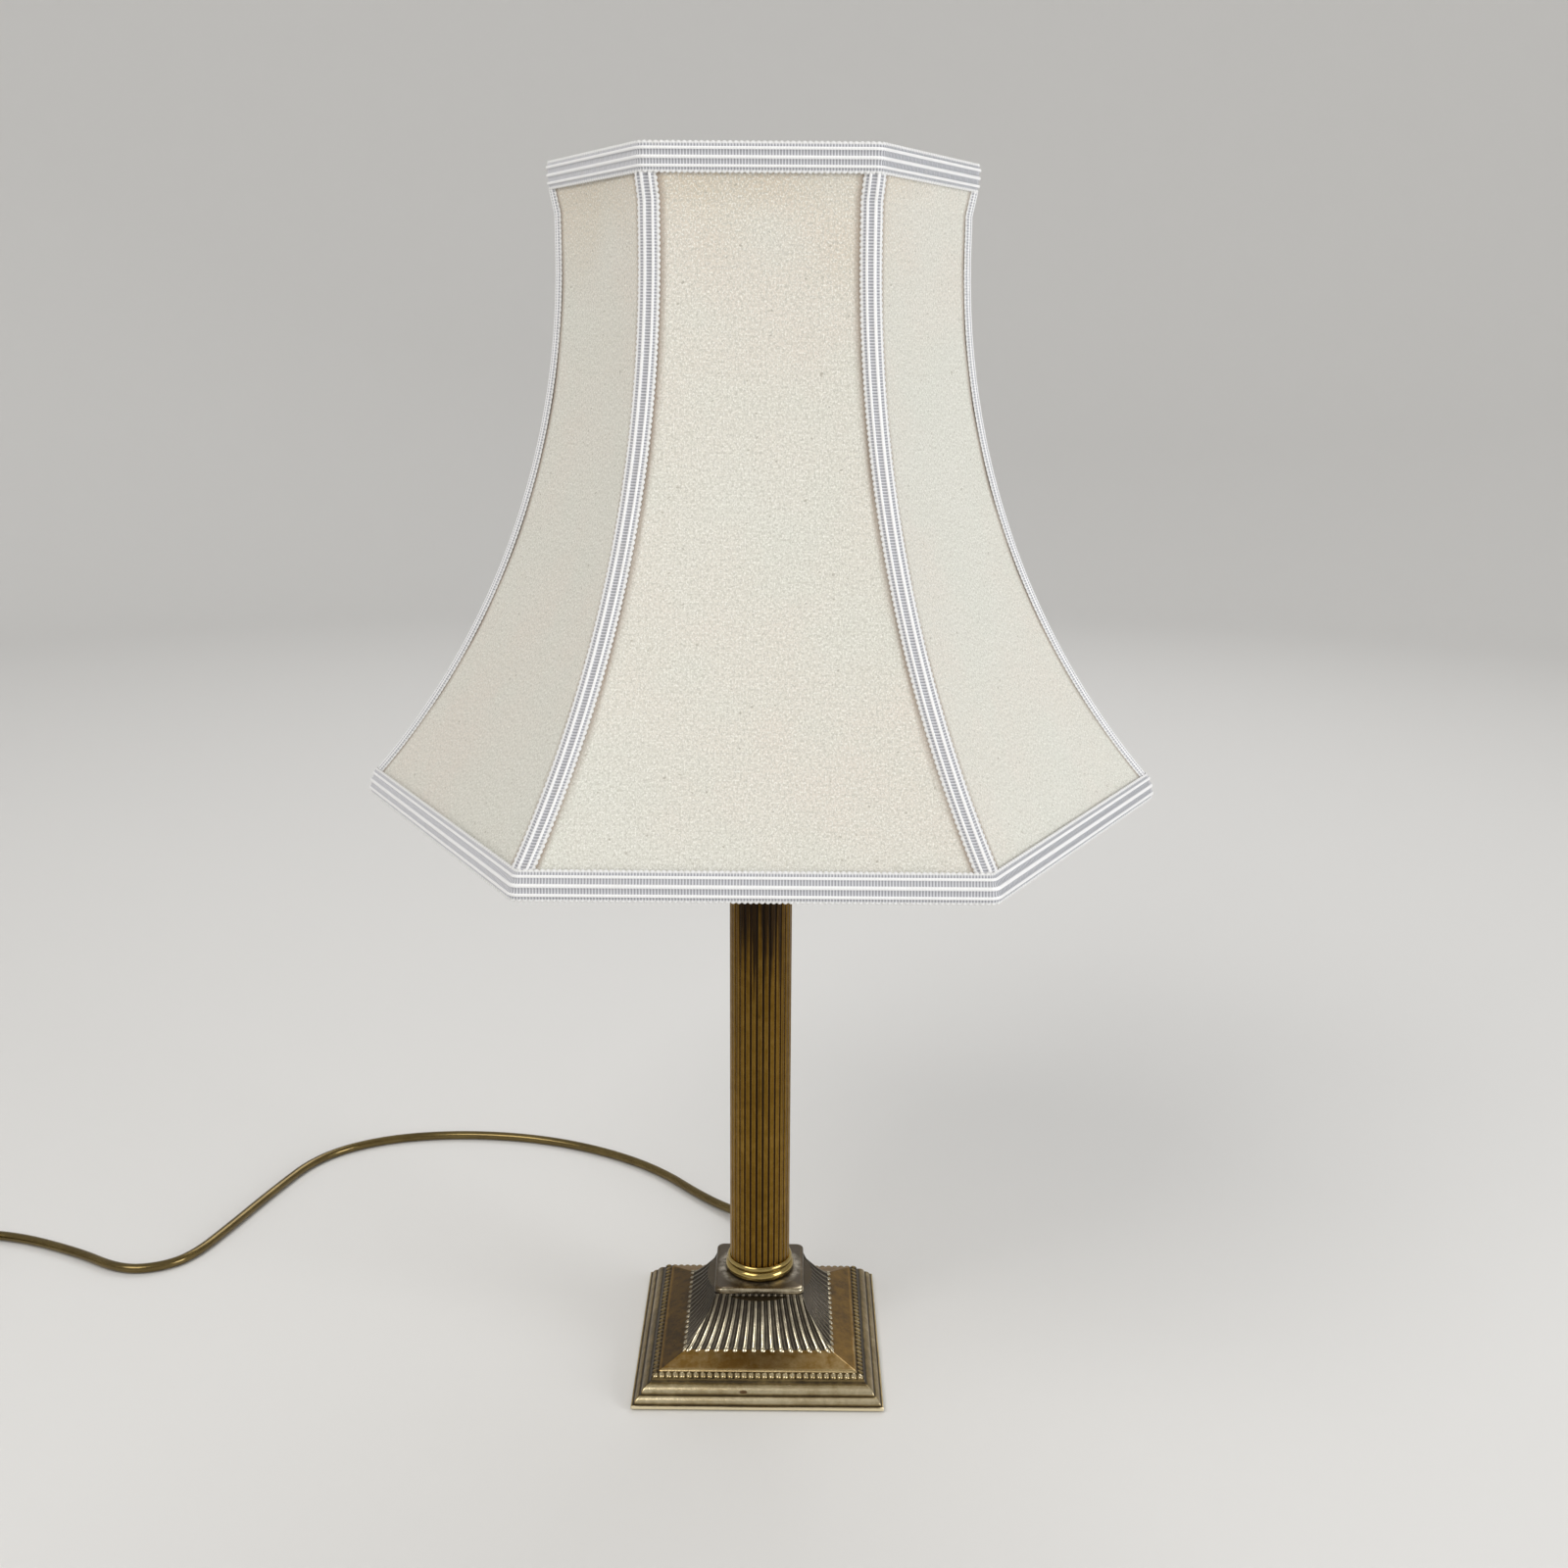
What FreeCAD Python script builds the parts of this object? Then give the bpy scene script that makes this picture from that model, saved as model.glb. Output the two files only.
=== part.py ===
"""Column table lamp: square reeded base, fluted column, six-sided bell shade and free flex.

Millimetres, +Z up. The origin is the middle of the base on the table, and the front faces -Y.
"""
import FreeCAD, Part
import math
import os
import Sketcher
from FreeCAD import Placement, Rotation, Vector

# ---------------------------------------------------------------- driving dimensions
DIMENSIONS = {
    # square base, worked from the table upwards
    "base_width": 130.0,
    "felt_thickness": 1.0,
    "felt_inset": 2.5,
    "foot_rise": 1.6,
    "foot_ledge": 1.3,
    "bead_rise": 3.6,
    "bead_run": 2.6,
    "bead_ledge": 0.7,
    "ogee_rise": 6.4,
    "ogee_run": 5.2,
    "ogee_lower_radius": 6.0,
    "ogee_upper_radius": 2.0,
    "band_rise": 1.8,
    "band_run": 3.8,
    "plate_rise": 3.7,
    "plate_run": 11.2,
    "reed_rise": 24.3,
    "reed_run": 16.8,
    "reed_curve_radius": 51.0,
    "reed_count": 16.0,
    "reed_groove_depth": 0.8,
    "reed_groove_width": 1.3,
    "reed_head_pitch": 3.35,
    "cap_overhang": 0.4,
    "cap_rise": 3.4,
    "cap_edge_radius": 1.3,
    "cap_corner_radius": 3.5,
    # hollow underside
    "shelf_height": 9.2,
    "rim_wall": 8.4,
    "rim_top_wall": 5.0,
    "shelf_width": 6.5,
    "cavity_wall": 3.6,
    "roof_wall": 4.4,
    # ballast plate and its screws
    "ballast_thickness": 7.0,
    "ballast_gap": 0.6,
    "ballast_hole_radius": 22.0,
    "cord_slot_width": 9.0,
    "screw_radius": 1.9,
    "screw_hole_gap": 0.15,
    "screw_bite": 3.0,
    "screw_head_radius": 3.4,
    "screw_head_height": 1.5,
    "screw_edge_distance": 4.0,
    # threaded rod and what it clamps
    "rod_radius": 5.0,
    "rod_bore_radius": 3.3,
    "rod_gap": 0.3,
    "rod_tail": 1.6,
    "rod_head": 8.0,
    "nut_height": 4.0,
    "nut_radius": 8.1,
    "washer_radius": 9.5,
    "washer_thickness": 1.2,
    # column
    "foot_ring_radius": 18.4,
    "foot_ring_height": 5.0,
    "neck_ring_radius": 17.5,
    "neck_ring_height": 3.2,
    "spigot_height": 4.0,
    "spigot_gap": 0.2,
    "column_radius": 16.0,
    "column_bore_radius": 12.8,
    "column_height": 308.0,
    "flute_count": 30.0,
    "flute_width": 1.15,
    "flute_depth": 0.9,
    "capital_foot_half": 14.5,
    "capital_flare": 6.5,
    "capital_flare_rise": 6.0,
    "capital_foot_rise": 2.5,
    "capital_slab_overhang": 1.5,
    "capital_slab_rise": 4.0,
    # lampholder
    "holder_neck_radius": 8.6,
    "holder_neck_height": 9.0,
    "holder_bowl_height": 9.0,
    "holder_radius": 19.8,
    "holder_wall": 1.2,
    "holder_height": 46.0,
    "insert_gap": 0.4,
    "insert_block_height": 10.0,
    "insert_cup_height": 25.0,
    "socket_radius": 14.4,
    "socket_wall": 0.6,
    "contact_radius": 3.0,
    "contact_height": 1.0,
    "terminal_radius": 1.9,
    "terminal_height": 1.8,
    "terminal_spacing": 20.0,
    "bar_radius": 2.3,
    "bar_clearance": 0.1,
    "bar_length": 60.0,
    "bar_height": 5.0,
    "bar_travel": 4.0,
    "shade_ring_radius": 28.5,
    "shade_ring_thickness": 4.0,
    "shade_ring_gap": 0.3,
    "shade_ring_height": 19.0,
    "ring_clearance": 0.3,
    "thread_clearance": 0.05,
    # bulb
    "bulb_radius": 30.0,
    "bulb_neck_radius": 12.8,
    "bulb_wall": 0.7,
    "bulb_length": 108.0,
    "bulb_cap_radius": 13.2,
    "bulb_cap_wall": 0.4,
    "bulb_cap_height": 24.0,
    "bulb_button_radius": 4.8,
    "bulb_button_height": 2.4,
    "bulb_seat_gap": 0.1,
    "stem_radius": 4.0,
    "stem_height": 34.0,
    "filament_wire": 0.4,
    "filament_height": 16.0,
    # shade: plan hexagon, sizes of the fabric face are flat-to-centre
    "shade_above_fitter": 181.5,
    "shade_waist_half": 83.2,
    "shade_top_flare": 1.8,
    "shade_top_edge": 11.5,
    "shade_flare_rise": 10.0,
    "shade_waist_rise": 16.0,
    "shade_sweep_rise": 249.0,
    "shade_sweep_radius": 415.0,
    "shade_hem_flare": 3.1,
    "shade_hem_rise": 7.0,
    "shade_hem_edge": 4.5,
    "fabric_thickness": 0.8,
    "frame_wire": 3.2,
    "frame_gap": 0.15,
    "lining_stand_off": 5.2,
    "lining_thickness": 0.6,
    "lining_edge_gap": 1.5,
    "ring_corner_radius": 6.0,
    "fitter_ring_radius": 30.0,
    "fitter_ring_thickness": 1.6,
    "fitter_gap": 0.5,
    "arm_wire": 3.2,
    "arm_hole_gap": 0.3,
    "arm_end_gap": 0.95,
    "band_thickness": 2.0,
    "band_overlap": 0.5,
    "braid_thickness": 1.3,
    "braid_gap": 0.05,
    "braid_half_width": 6.5,
    # flex, its bush, the put-away coil and the plug
    "cord_diameter": 5.6,
    "cord_exit_height": 6.6,
    "bush_bore_gap": 0.1,
    "bush_length": 30.0,
    "bush_root_radius": 4.6,
    "bush_tip_radius": 3.7,
    "bush_flange_radius": 5.0,
    "bush_flange_thickness": 2.0,
    "bush_hole_gap": 0.15,
    "bush_seat_depth": 7.0,
    "bush_seat_radius": 5.3,
    "bush_seat_gap": 0.1,
    "inner_bend_radius": 24.0,
    "inner_cord_gap": 5.0,
    "lead_wire_radius": 0.8,
    "coil_radius": 40.0,
    "coil_pitch": 6.35,
    "coil_layer_rise": 6.2,
    "plug_length": 36.0,
    "plug_width": 26.0,
    "plug_thickness": 13.6,
    "plug_corner_radius": 4.0,
    "plug_edge_radius": 2.0,
    "plug_neck_length": 22.0,
    "plug_neck_root_radius": 5.4,
    "plug_neck_tip_radius": 3.7,
    "pin_radius": 2.0,
    "pin_length": 19.0,
    "pin_spacing": 18.6,
    "pin_root": 8.0,
    "pin_neck_radius": 1.8,
    "pin_neck_length": 1.0,
}

HEX_SIDES = 6
HALF_SIDE_ANGLE = math.radians(180.0 / HEX_SIDES)
COS_HALF = math.cos(HALF_SIDE_ANGLE)
TAN_HALF = math.tan(HALF_SIDE_ANGLE)

# The flex, from the tip of its bush to the coil: points chosen by hand, in millimetres.
CORD_EXIT_Y = 88.0
CORD_POINTS = [
    (0.0, CORD_EXIT_Y, 7.6),
    (0.0, 106.0, 7.6),
    (-10.0, 127.0, 4.8),
    (-37.0, 152.0, 2.8),
    (-70.0, 191.0, 2.8),
    (-113.0, 219.0, 2.8),
    (-162.0, 236.0, 2.8),
    (-216.0, 240.0, 2.8),
    (-264.0, 230.0, 2.8),
    (-299.0, 204.0, 2.8),
    (-315.0, 157.0, 2.8),
    (-328.0, 112.0, 2.8),
    (-339.0, 78.0, 2.8),
    (-354.0, 65.0, 2.8),
    (-376.0, 62.0, 2.8),
    (-410.0, 82.0, 2.8),
    (-459.0, 101.0, 2.8),
    (-504.0, 101.0, 2.8),
]
# The tail from the coil to the neck of the plug.
TAIL_POINTS = [
    (-516.0, 101.0, 9.0),
    (-540.0, 101.0, 9.0),
    (-568.0, 88.0, 6.8),
    (-582.0, 62.0, 6.8),
    (-582.0, 40.0, 6.8),
]
CORNER_SHARE = 0.45
COIL_CENTRE = (-510.0, 61.0)
COIL_TURNS = 5.0
COIL_CLIMB_START = 2.25
COIL_LEAD = 6.0


class Size:
    """A length worked out from the sheet: its number and the expression that binds it."""

    def __init__(self, value, text):
        self.value = value
        self.text = text

    def joined(self, sign, other, value):
        return Size(value, "(%s %s %s)" % (self.text, sign, other.text))

    def __add__(self, other):
        other = as_size(other)
        return self.joined("+", other, self.value + other.value)

    def __sub__(self, other):
        other = as_size(other)
        return self.joined("-", other, self.value - other.value)

    def __mul__(self, other):
        other = as_size(other)
        return self.joined("*", other, self.value * other.value)

    def __truediv__(self, other):
        other = as_size(other)
        return self.joined("/", other, self.value / other.value)

    def __radd__(self, other):
        return as_size(other) + self

    def __rsub__(self, other):
        return as_size(other) - self

    def __rmul__(self, other):
        return as_size(other) * self

    def __neg__(self):
        return as_size(0.0) - self


def as_size(number):
    return number if isinstance(number, Size) else Size(float(number), repr(float(number)))


def root(size):
    return Size(math.sqrt(size.value), "sqrt(%s)" % size.text)


doc = FreeCAD.newDocument("ColumnLamp")
sheet = doc.addObject("Spreadsheet::Sheet", "Sizes")


def fill_sheet():
    """Write every driving dimension in the sheet, with its alias, and return them as sizes."""
    sizes = {}
    for row, (word, number) in enumerate(DIMENSIONS.items(), start=1):
        sheet.set("A%d" % row, word)
        sheet.set("B%d" % row, repr(number))
        sheet.setAlias("B%d" % row, word)
        sizes[word] = Size(number, "Sizes." + word)
    doc.recompute()
    return sizes


S = fill_sheet()
SUBPARTS = {}


def keep(obj, label):
    """Name a finished sub-part and list it for export."""
    obj.Label = label
    SUBPARTS[label] = obj
    return obj


# ---------------------------------------------------------------- sketching helpers
def sketch_on(body, name, role):
    plane = [item for item in body.Origin.OriginFeatures if item.Role == role][0]
    sketch = body.newObject("Sketcher::SketchObject", name)
    sketch.AttachmentSupport = [(plane, "")]
    sketch.MapMode = "FlatFace"
    return sketch


def place(obj, x=None, y=None, z=None):
    """Bind an object's position to sizes."""
    for axis, size in (("x", x), ("y", y), ("z", z)):
        if size is not None:
            obj.setExpression("Placement.Base." + axis, as_size(size).text)


def arc_geometry(start, end, radius, turn):
    """The circle arc from start to end; turn is 1 when it bends left and -1 when right."""
    chord = end - start
    middle = (start + end) * 0.5
    left = Vector(-chord.y, chord.x, 0) * (1.0 / chord.Length)
    reach = math.sqrt(max(radius ** 2 - (chord.Length / 2) ** 2, 0.0))
    centre = middle + left * (reach * turn)
    first, last = (start, end) if turn > 0 else (end, start)
    from_angle = math.atan2(first.y - centre.y, first.x - centre.x)
    to_angle = math.atan2(last.y - centre.y, last.x - centre.x)
    circle = Part.Circle(centre, Vector(0, 0, 1), radius)
    return Part.ArcOfCircle(circle, from_angle, to_angle)


def outline(sketch, corners, closed=True, prefix=""):
    """Lines and arcs through corners, each corner's place bound to the sheet.

    A corner is (x, y), or (x, y, radius, turn) where an arc arrives at it.
    """
    points = [Vector(as_size(c[0]).value, as_size(c[1]).value, 0) for c in corners]
    count = len(corners)
    first_edge = sketch.GeometryCount
    edge_total = count if closed else count - 1
    starts = []
    ends = []
    for index in range(edge_total):
        target = (index + 1) % count
        start = points[index]
        end = points[target]
        edge = first_edge + index
        if len(corners[target]) == 4:
            radius, turn = corners[target][2:]
            sketch.addGeometry(arc_geometry(start, end, as_size(radius).value, turn), False)
            starts.append((edge, 1 if turn > 0 else 2))
            ends.append((edge, 2 if turn > 0 else 1))
        else:
            sketch.addGeometry(Part.LineSegment(start, end), False)
            starts.append((edge, 1))
            ends.append((edge, 2))
    for index in range(edge_total if closed else edge_total - 1):
        following = (index + 1) % edge_total
        sketch.addConstraint(Sketcher.Constraint("Coincident", *ends[index], *starts[following]))
    for index, corner in enumerate(corners):
        where = starts[index] if index < edge_total else ends[index - 1]
        for kind, letter, size in (("DistanceX", "x", corner[0]), ("DistanceY", "y", corner[1])):
            size = as_size(size)
            number = sketch.addConstraint(Sketcher.Constraint(kind, -1, 1, *where, size.value))
            name = "%s%s%d" % (prefix, letter, index)
            sketch.renameConstraint(number, name)
            if "Sizes" in size.text:
                sketch.setExpression("Constraints." + name, size.text)
    for index in range(edge_total):
        target = (index + 1) % count
        if len(corners[target]) == 4:
            radius = as_size(corners[target][2])
            number = sketch.addConstraint(Sketcher.Constraint("Radius", first_edge + index, radius.value))
            name = "%sr%d" % (prefix, target)
            sketch.renameConstraint(number, name)
            if "Sizes" in radius.text:
                sketch.setExpression("Constraints." + name, radius.text)


def circle_in(sketch, x, y, radius, prefix="c"):
    """A circle with its centre and radius bound to the sheet."""
    x, y, radius = as_size(x), as_size(y), as_size(radius)
    edge = sketch.addGeometry(Part.Circle(Vector(x.value, y.value, 0), Vector(0, 0, 1), radius.value), False)
    for kind, letter, size in (("DistanceX", "x", x), ("DistanceY", "y", y)):
        number = sketch.addConstraint(Sketcher.Constraint(kind, -1, 1, edge, 3, size.value))
        sketch.renameConstraint(number, prefix + letter)
        if "Sizes" in size.text:
            sketch.setExpression("Constraints." + prefix + letter, size.text)
    number = sketch.addConstraint(Sketcher.Constraint("Radius", edge, radius.value))
    sketch.renameConstraint(number, prefix + "r")
    sketch.setExpression("Constraints." + prefix + "r", radius.text)


def mirrored(right_corners):
    """The closed outline whose right half runs up through these corners."""
    left = []
    for index in range(len(right_corners) - 1, -1, -1):
        x, y = right_corners[index][:2]
        arriving = right_corners[index + 1] if index + 1 < len(right_corners) else ()
        arc = tuple(arriving[2:]) if len(arriving) == 4 else ()
        left.append((-as_size(x), y) + arc)
    return list(right_corners) + left


def new_body(name):
    return doc.addObject("PartDesign::Body", name)


def pad_on(body, name, role, corners, length, symmetric=False, reverse=False):
    """Pad the outline drawn on one of the body's own planes."""
    sketch = sketch_on(body, name + "_outline", role)
    outline(sketch, corners)
    pad = body.newObject("PartDesign::Pad", name)
    pad.Profile = sketch
    if symmetric:
        pad.SideType = "Symmetric"
    pad.Reversed = reverse
    pad.setExpression("Length", as_size(length).text)
    return pad


def turned(label, corners, z):
    """A piece turned about Z from its right-hand outline, standing at height z."""
    body = new_body(label)
    sketch = sketch_on(body, label + "_outline", "XZ_Plane")
    outline(sketch, corners)
    turning = body.newObject("PartDesign::Revolution", label + "_turning")
    turning.Profile = sketch
    turning.ReferenceAxis = (sketch, ["V_Axis"])
    turning.Angle = 360
    place(body, z=z)
    return keep(body, label)


def square_moulding(name, right_corners, width):
    """A square-plan moulding: its outline run along X meets the same outline run along Y."""
    parts = []
    for letter, role in (("x", "YZ_Plane"), ("y", "XZ_Plane")):
        body = new_body("%s_along_%s" % (name, letter))
        pad_on(body, "%s_run_%s" % (name, letter), role, mirrored(right_corners), width, symmetric=True)
        parts.append(body)
    return boolean("Part::Common", name, *parts)


def boolean(kind, name, base, tool):
    result = doc.addObject(kind, name)
    result.Base = base
    result.Tool = tool
    return result


def cylinder(name, radius, height, x=0.0, y=0.0, z=0.0, rotation=None):
    """A primitive cylinder on Z, or turned by rotation."""
    obj = doc.addObject("Part::Cylinder", name)
    obj.setExpression("Radius", as_size(radius).text)
    obj.setExpression("Height", as_size(height).text)
    if rotation is not None:
        obj.Placement = Placement(Vector(), rotation)
    place(obj, x, y, z)
    return obj


def block(name, length, width, height, x, y, z):
    """A box, centred on x and y, standing at z."""
    obj = doc.addObject("Part::Box", name)
    obj.setExpression("Length", as_size(length).text)
    obj.setExpression("Width", as_size(width).text)
    obj.setExpression("Height", as_size(height).text)
    place(obj, x - length / 2, y - width / 2, z)
    return obj


def gathered(name, objects):
    """Several separate solids as one object."""
    result = doc.addObject("Part::Compound", name)
    result.Links = objects
    return result


def about_z(degrees):
    return Placement(Vector(), Rotation(Vector(0, 0, 1), degrees))


# ---------------------------------------------------------------- heights of the stack
Z_FOOT = S["felt_thickness"]
Z_BEAD = Z_FOOT + S["foot_rise"]
Z_OGEE = Z_BEAD + S["bead_rise"]
Z_BAND = Z_OGEE + S["ogee_rise"]
Z_PLATE = Z_BAND + S["band_rise"]
Z_REED = Z_PLATE + S["plate_rise"]
Z_CAP = Z_REED + S["reed_rise"]
Z_BASE_TOP = Z_CAP + S["cap_rise"]
Z_COLUMN = Z_BASE_TOP + S["foot_ring_height"] + S["neck_ring_height"]
Z_COLUMN_TOP = Z_COLUMN + S["column_height"]
Z_CAPITAL = Z_COLUMN_TOP + S["foot_ring_height"] + S["neck_ring_height"]
CAPITAL_HEIGHT = S["capital_foot_rise"] + S["capital_flare_rise"] + S["capital_slab_rise"]
Z_LOCKNUT = Z_CAPITAL + CAPITAL_HEIGHT
Z_HOLDER = Z_LOCKNUT + S["nut_height"]
Z_BOWL = Z_HOLDER + S["holder_neck_height"]
Z_SHELL = Z_BOWL + S["holder_bowl_height"]
Z_SHELL_TOP = Z_SHELL + S["holder_height"]
Z_BAR = Z_SHELL + S["bar_height"]
Z_LOWER_RING = Z_SHELL + S["shade_ring_height"]
Z_FITTER = Z_LOWER_RING + S["shade_ring_thickness"] + S["shade_ring_gap"]
Z_UPPER_RING = Z_FITTER + S["fitter_ring_thickness"] + S["shade_ring_gap"]
Z_CONTACT = Z_SHELL + S["insert_block_height"]
Z_BULB = Z_CONTACT + S["contact_height"] + S["bulb_seat_gap"]

# half widths of the base at each level
H_BASE = S["base_width"] / 2
H_BEAD = H_BASE - S["foot_ledge"]
H_OGEE = H_BEAD - S["bead_run"] - S["bead_ledge"]
H_BAND = H_OGEE - S["ogee_run"]
H_PLATE = H_BAND - S["band_run"]
H_REED = H_PLATE - S["plate_run"]
H_REED_TOP = H_REED - S["reed_run"]
H_CAP = H_REED_TOP + S["cap_overhang"]

# the cavity under the base
Z_SHELF = Z_FOOT + S["shelf_height"]
Z_ROOF = Z_BASE_TOP - S["roof_wall"]
H_RIM = H_BASE - S["rim_wall"] - S["rim_top_wall"]
H_SHELF = H_RIM - S["shelf_width"]

CORD_RADIUS = S["cord_diameter"] / 2
Z_EXIT = Z_FOOT + S["cord_exit_height"]
ROD_HOLE = S["rod_radius"] + S["rod_gap"]
TOP_OF_ROD = Z_HOLDER + S["rod_head"]


# ---------------------------------------------------------------- base
def reed_grooves():
    """The gaps between the reeds, cut to one depth in each of the pyramid's four hollow faces."""
    count = int(round(DIMENSIONS["reed_count"]))
    z_low, z_high = Z_REED.value, Z_CAP.value
    foot_pitch = 2 * H_REED.value / count
    head_pitch = DIMENSIONS["reed_head_pitch"]
    half_gap = DIMENSIONS["reed_groove_width"] / 2
    depth = DIMENSIONS["reed_groove_depth"]
    shrink = head_pitch / foot_pitch
    reach = H_REED.value + depth
    strips = []
    for index in range(1, count):
        place_in_row = index - count / 2
        low = place_in_row * foot_pitch
        high = place_in_row * head_pitch
        corners = [
            Vector(low - half_gap, -reach, z_low),
            Vector(low + half_gap, -reach, z_low),
            Vector(high + half_gap * shrink, -reach, z_high),
            Vector(high - half_gap * shrink, -reach, z_high),
        ]
        face = Part.Face(Part.makePolygon(corners + corners[:1]))
        strips.append(face.extrude(Vector(0, reach, 0)))
    foot = Vector(0, -H_REED.value, z_low)
    head = Vector(0, -H_REED_TOP.value, z_high)
    inward = Vector(0, depth, 0)
    outward = Vector(0, -depth, 0)
    radius = DIMENSIONS["reed_curve_radius"]
    inner = hollow_arc(foot + inward, head + inward, radius)
    outer = hollow_arc(foot + outward, head + outward, radius)
    ends = [
        Part.LineSegment(head + inward, head + outward).toShape(),
        Part.LineSegment(foot + outward, foot + inward).toShape(),
    ]
    skin_face = Part.Face(Part.Wire(Part.__sortEdges__([inner, outer] + ends)))
    skin = skin_face.extrude(Vector(2 * reach, 0, 0))
    skin.translate(Vector(-reach, 0, 0))
    front = Part.Compound([strip.common(skin) for strip in strips])
    around = []
    for quarter in range(4):
        turned_copy = front.copy()
        turned_copy.rotate(Vector(), Vector(0, 0, 1), 90 * quarter)
        around.append(turned_copy)
    grooves = doc.addObject("Part::Feature", "reed_grooves")
    grooves.Shape = Part.Compound(around)
    return grooves


def hollow_arc(foot, head, radius):
    """The arc of a hollow moulding in the YZ plane, bowed towards the inside of the base."""
    chord = head - foot
    middle = (foot + head) * 0.5
    inside = Vector(0, chord.z, -chord.y) * (1.0 / chord.Length)
    sagitta = radius - math.sqrt(radius ** 2 - (chord.Length / 2) ** 2)
    return Part.Arc(foot, middle + inside * sagitta, head).toShape()


def make_base():
    ogee_middle = H_OGEE - S["ogee_run"] * 0.75
    outer = square_moulding("base_outside", [
        (H_BASE, Z_FOOT),
        (H_BASE, Z_BEAD),
        (H_BEAD, Z_BEAD),
        (H_BEAD - S["bead_run"], Z_OGEE, S["bead_rise"], 1),
        (H_OGEE, Z_OGEE),
        (ogee_middle, Z_OGEE + S["ogee_rise"] * 0.69, S["ogee_lower_radius"], 1),
        (H_BAND, Z_BAND, S["ogee_upper_radius"], -1),
        (H_PLATE, Z_PLATE),
        (H_REED, Z_REED),
        (H_REED_TOP, Z_CAP, S["reed_curve_radius"], -1),
    ], S["base_width"])
    inner = square_moulding("base_inside", [
        (H_BASE - S["rim_wall"], 0.0),
        (H_RIM, Z_SHELF),
        (H_SHELF, Z_SHELF),
        (H_REED - S["cavity_wall"], Z_REED - S["cavity_wall"] - 1.0),
        (H_REED_TOP - S["cavity_wall"], Z_ROOF),
    ], S["base_width"])
    rough = boolean("Part::Fuse", "base_rough", outer, cap_slab())
    reeded = boolean("Part::Cut", "base_reeded", rough, reed_grooves())
    hollow = boolean("Part::Cut", "base_hollow", reeded, inner)
    rod_hole = cylinder("base_rod_hole", ROD_HOLE, Z_BASE_TOP * 1.1)
    bored = boolean("Part::Cut", "base_bored", hollow, rod_hole)
    backwards = Rotation(Vector(1, 0, 0), -90)
    exit_bore = cylinder("cord_exit_bore", S["bush_root_radius"] + S["bush_hole_gap"], H_BASE,
                         y=H_SHELF, z=Z_EXIT, rotation=backwards)
    exit_seat = cylinder("cord_exit_seat", S["bush_seat_radius"], H_BASE,
                         y=H_BASE - S["bush_seat_depth"], z=Z_EXIT, rotation=backwards)
    exit_hole = boolean("Part::Fuse", "cord_exit_hole", exit_bore, exit_seat)
    drilled = boolean("Part::Cut", "base_drilled", bored, exit_hole)
    holes = screw_cylinders("shell_hole", Z_SHELF + S["screw_bite"] + S["screw_hole_gap"] * 2)
    keep(boolean("Part::Cut", "base_shell", drilled, holes), "base_shell")


def cap_slab():
    """The square slab on top of the pyramid, with a rounded rim."""
    slab = new_body("base_cap_slab")
    pad = pad_on(slab, "cap_pad", "XY_Plane", rounded_square(H_CAP, S["cap_corner_radius"]), S["cap_rise"])
    doc.recompute()
    rounding = slab.newObject("PartDesign::Fillet", "cap_edge")
    rim = []
    for index, edge in enumerate(pad.Shape.Edges):
        if edge.BoundBox.ZMin > DIMENSIONS["cap_rise"] * 0.9:
            rim.append("Edge%d" % (index + 1))
    rounding.Base = (pad, rim)
    rounding.setExpression("Radius", S["cap_edge_radius"].text)
    place(slab, z=Z_CAP)
    return slab


def screw_cylinders(name, height):
    """Four upright cylinders at the ballast screws, as wide as their holes."""
    radius = S["screw_radius"] + S["screw_hole_gap"]
    made = []
    for number, (x, y) in enumerate(screw_places(), start=1):
        made.append(cylinder("%s_%d" % (name, number), radius, height, x=x, y=y))
    return gathered(name + "s", made)


def rounded_square(half, radius):
    """Plan outline of a square with rounded corners, going round to the left."""
    inner = half - radius
    return [
        (-inner, -half, radius, 1),
        (inner, -half),
        (half, -inner, radius, 1),
        (half, inner),
        (inner, half, radius, 1),
        (-inner, half),
        (-half, inner, radius, 1),
        (-half, -inner),
    ]


def screw_places():
    half = H_RIM - S["ballast_gap"] - S["screw_edge_distance"]
    return [(half, half), (-half, half), (-half, -half), (half, -half)]


def make_under_base():
    felt = new_body("base_felt")
    pad_on(felt, "felt_pad", "XY_Plane", rounded_square(H_BASE - S["felt_inset"], S["cap_corner_radius"]),
           S["felt_thickness"])
    keep(felt, "base_felt")

    half = H_RIM - S["ballast_gap"]
    bottom = Z_SHELF - S["ballast_thickness"]
    plate = block("ballast_plate", half * 2, half * 2, S["ballast_thickness"], as_size(0), as_size(0), bottom)
    middle = cylinder("ballast_middle", S["ballast_hole_radius"], Z_SHELF * 1.1)
    slot = block("ballast_slot", S["cord_slot_width"], half * 2, Z_SHELF * 1.1, as_size(0), half, as_size(0))
    opened = boolean("Part::Fuse", "ballast_opening", middle, slot)
    holes = screw_cylinders("ballast_hole", Z_SHELF * 1.1)
    slotted = boolean("Part::Cut", "ballast_slotted", plate, opened)
    keep(boolean("Part::Cut", "base_weight", slotted, holes), "base_weight")

    screws = []
    for number, (x, y) in enumerate(screw_places(), start=1):
        shank = cylinder("screw_shank_%d" % number, S["screw_radius"],
                         S["ballast_thickness"] + S["screw_bite"], x=x, y=y, z=bottom)
        head = cylinder("screw_head_%d" % number, S["screw_head_radius"], S["screw_head_height"],
                        x=x, y=y, z=bottom - S["screw_head_height"])
        screws.append(boolean("Part::Fuse", "screw_%d" % number, shank, head))
    keep(gathered("weight_screws", screws), "weight_screws")


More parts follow.
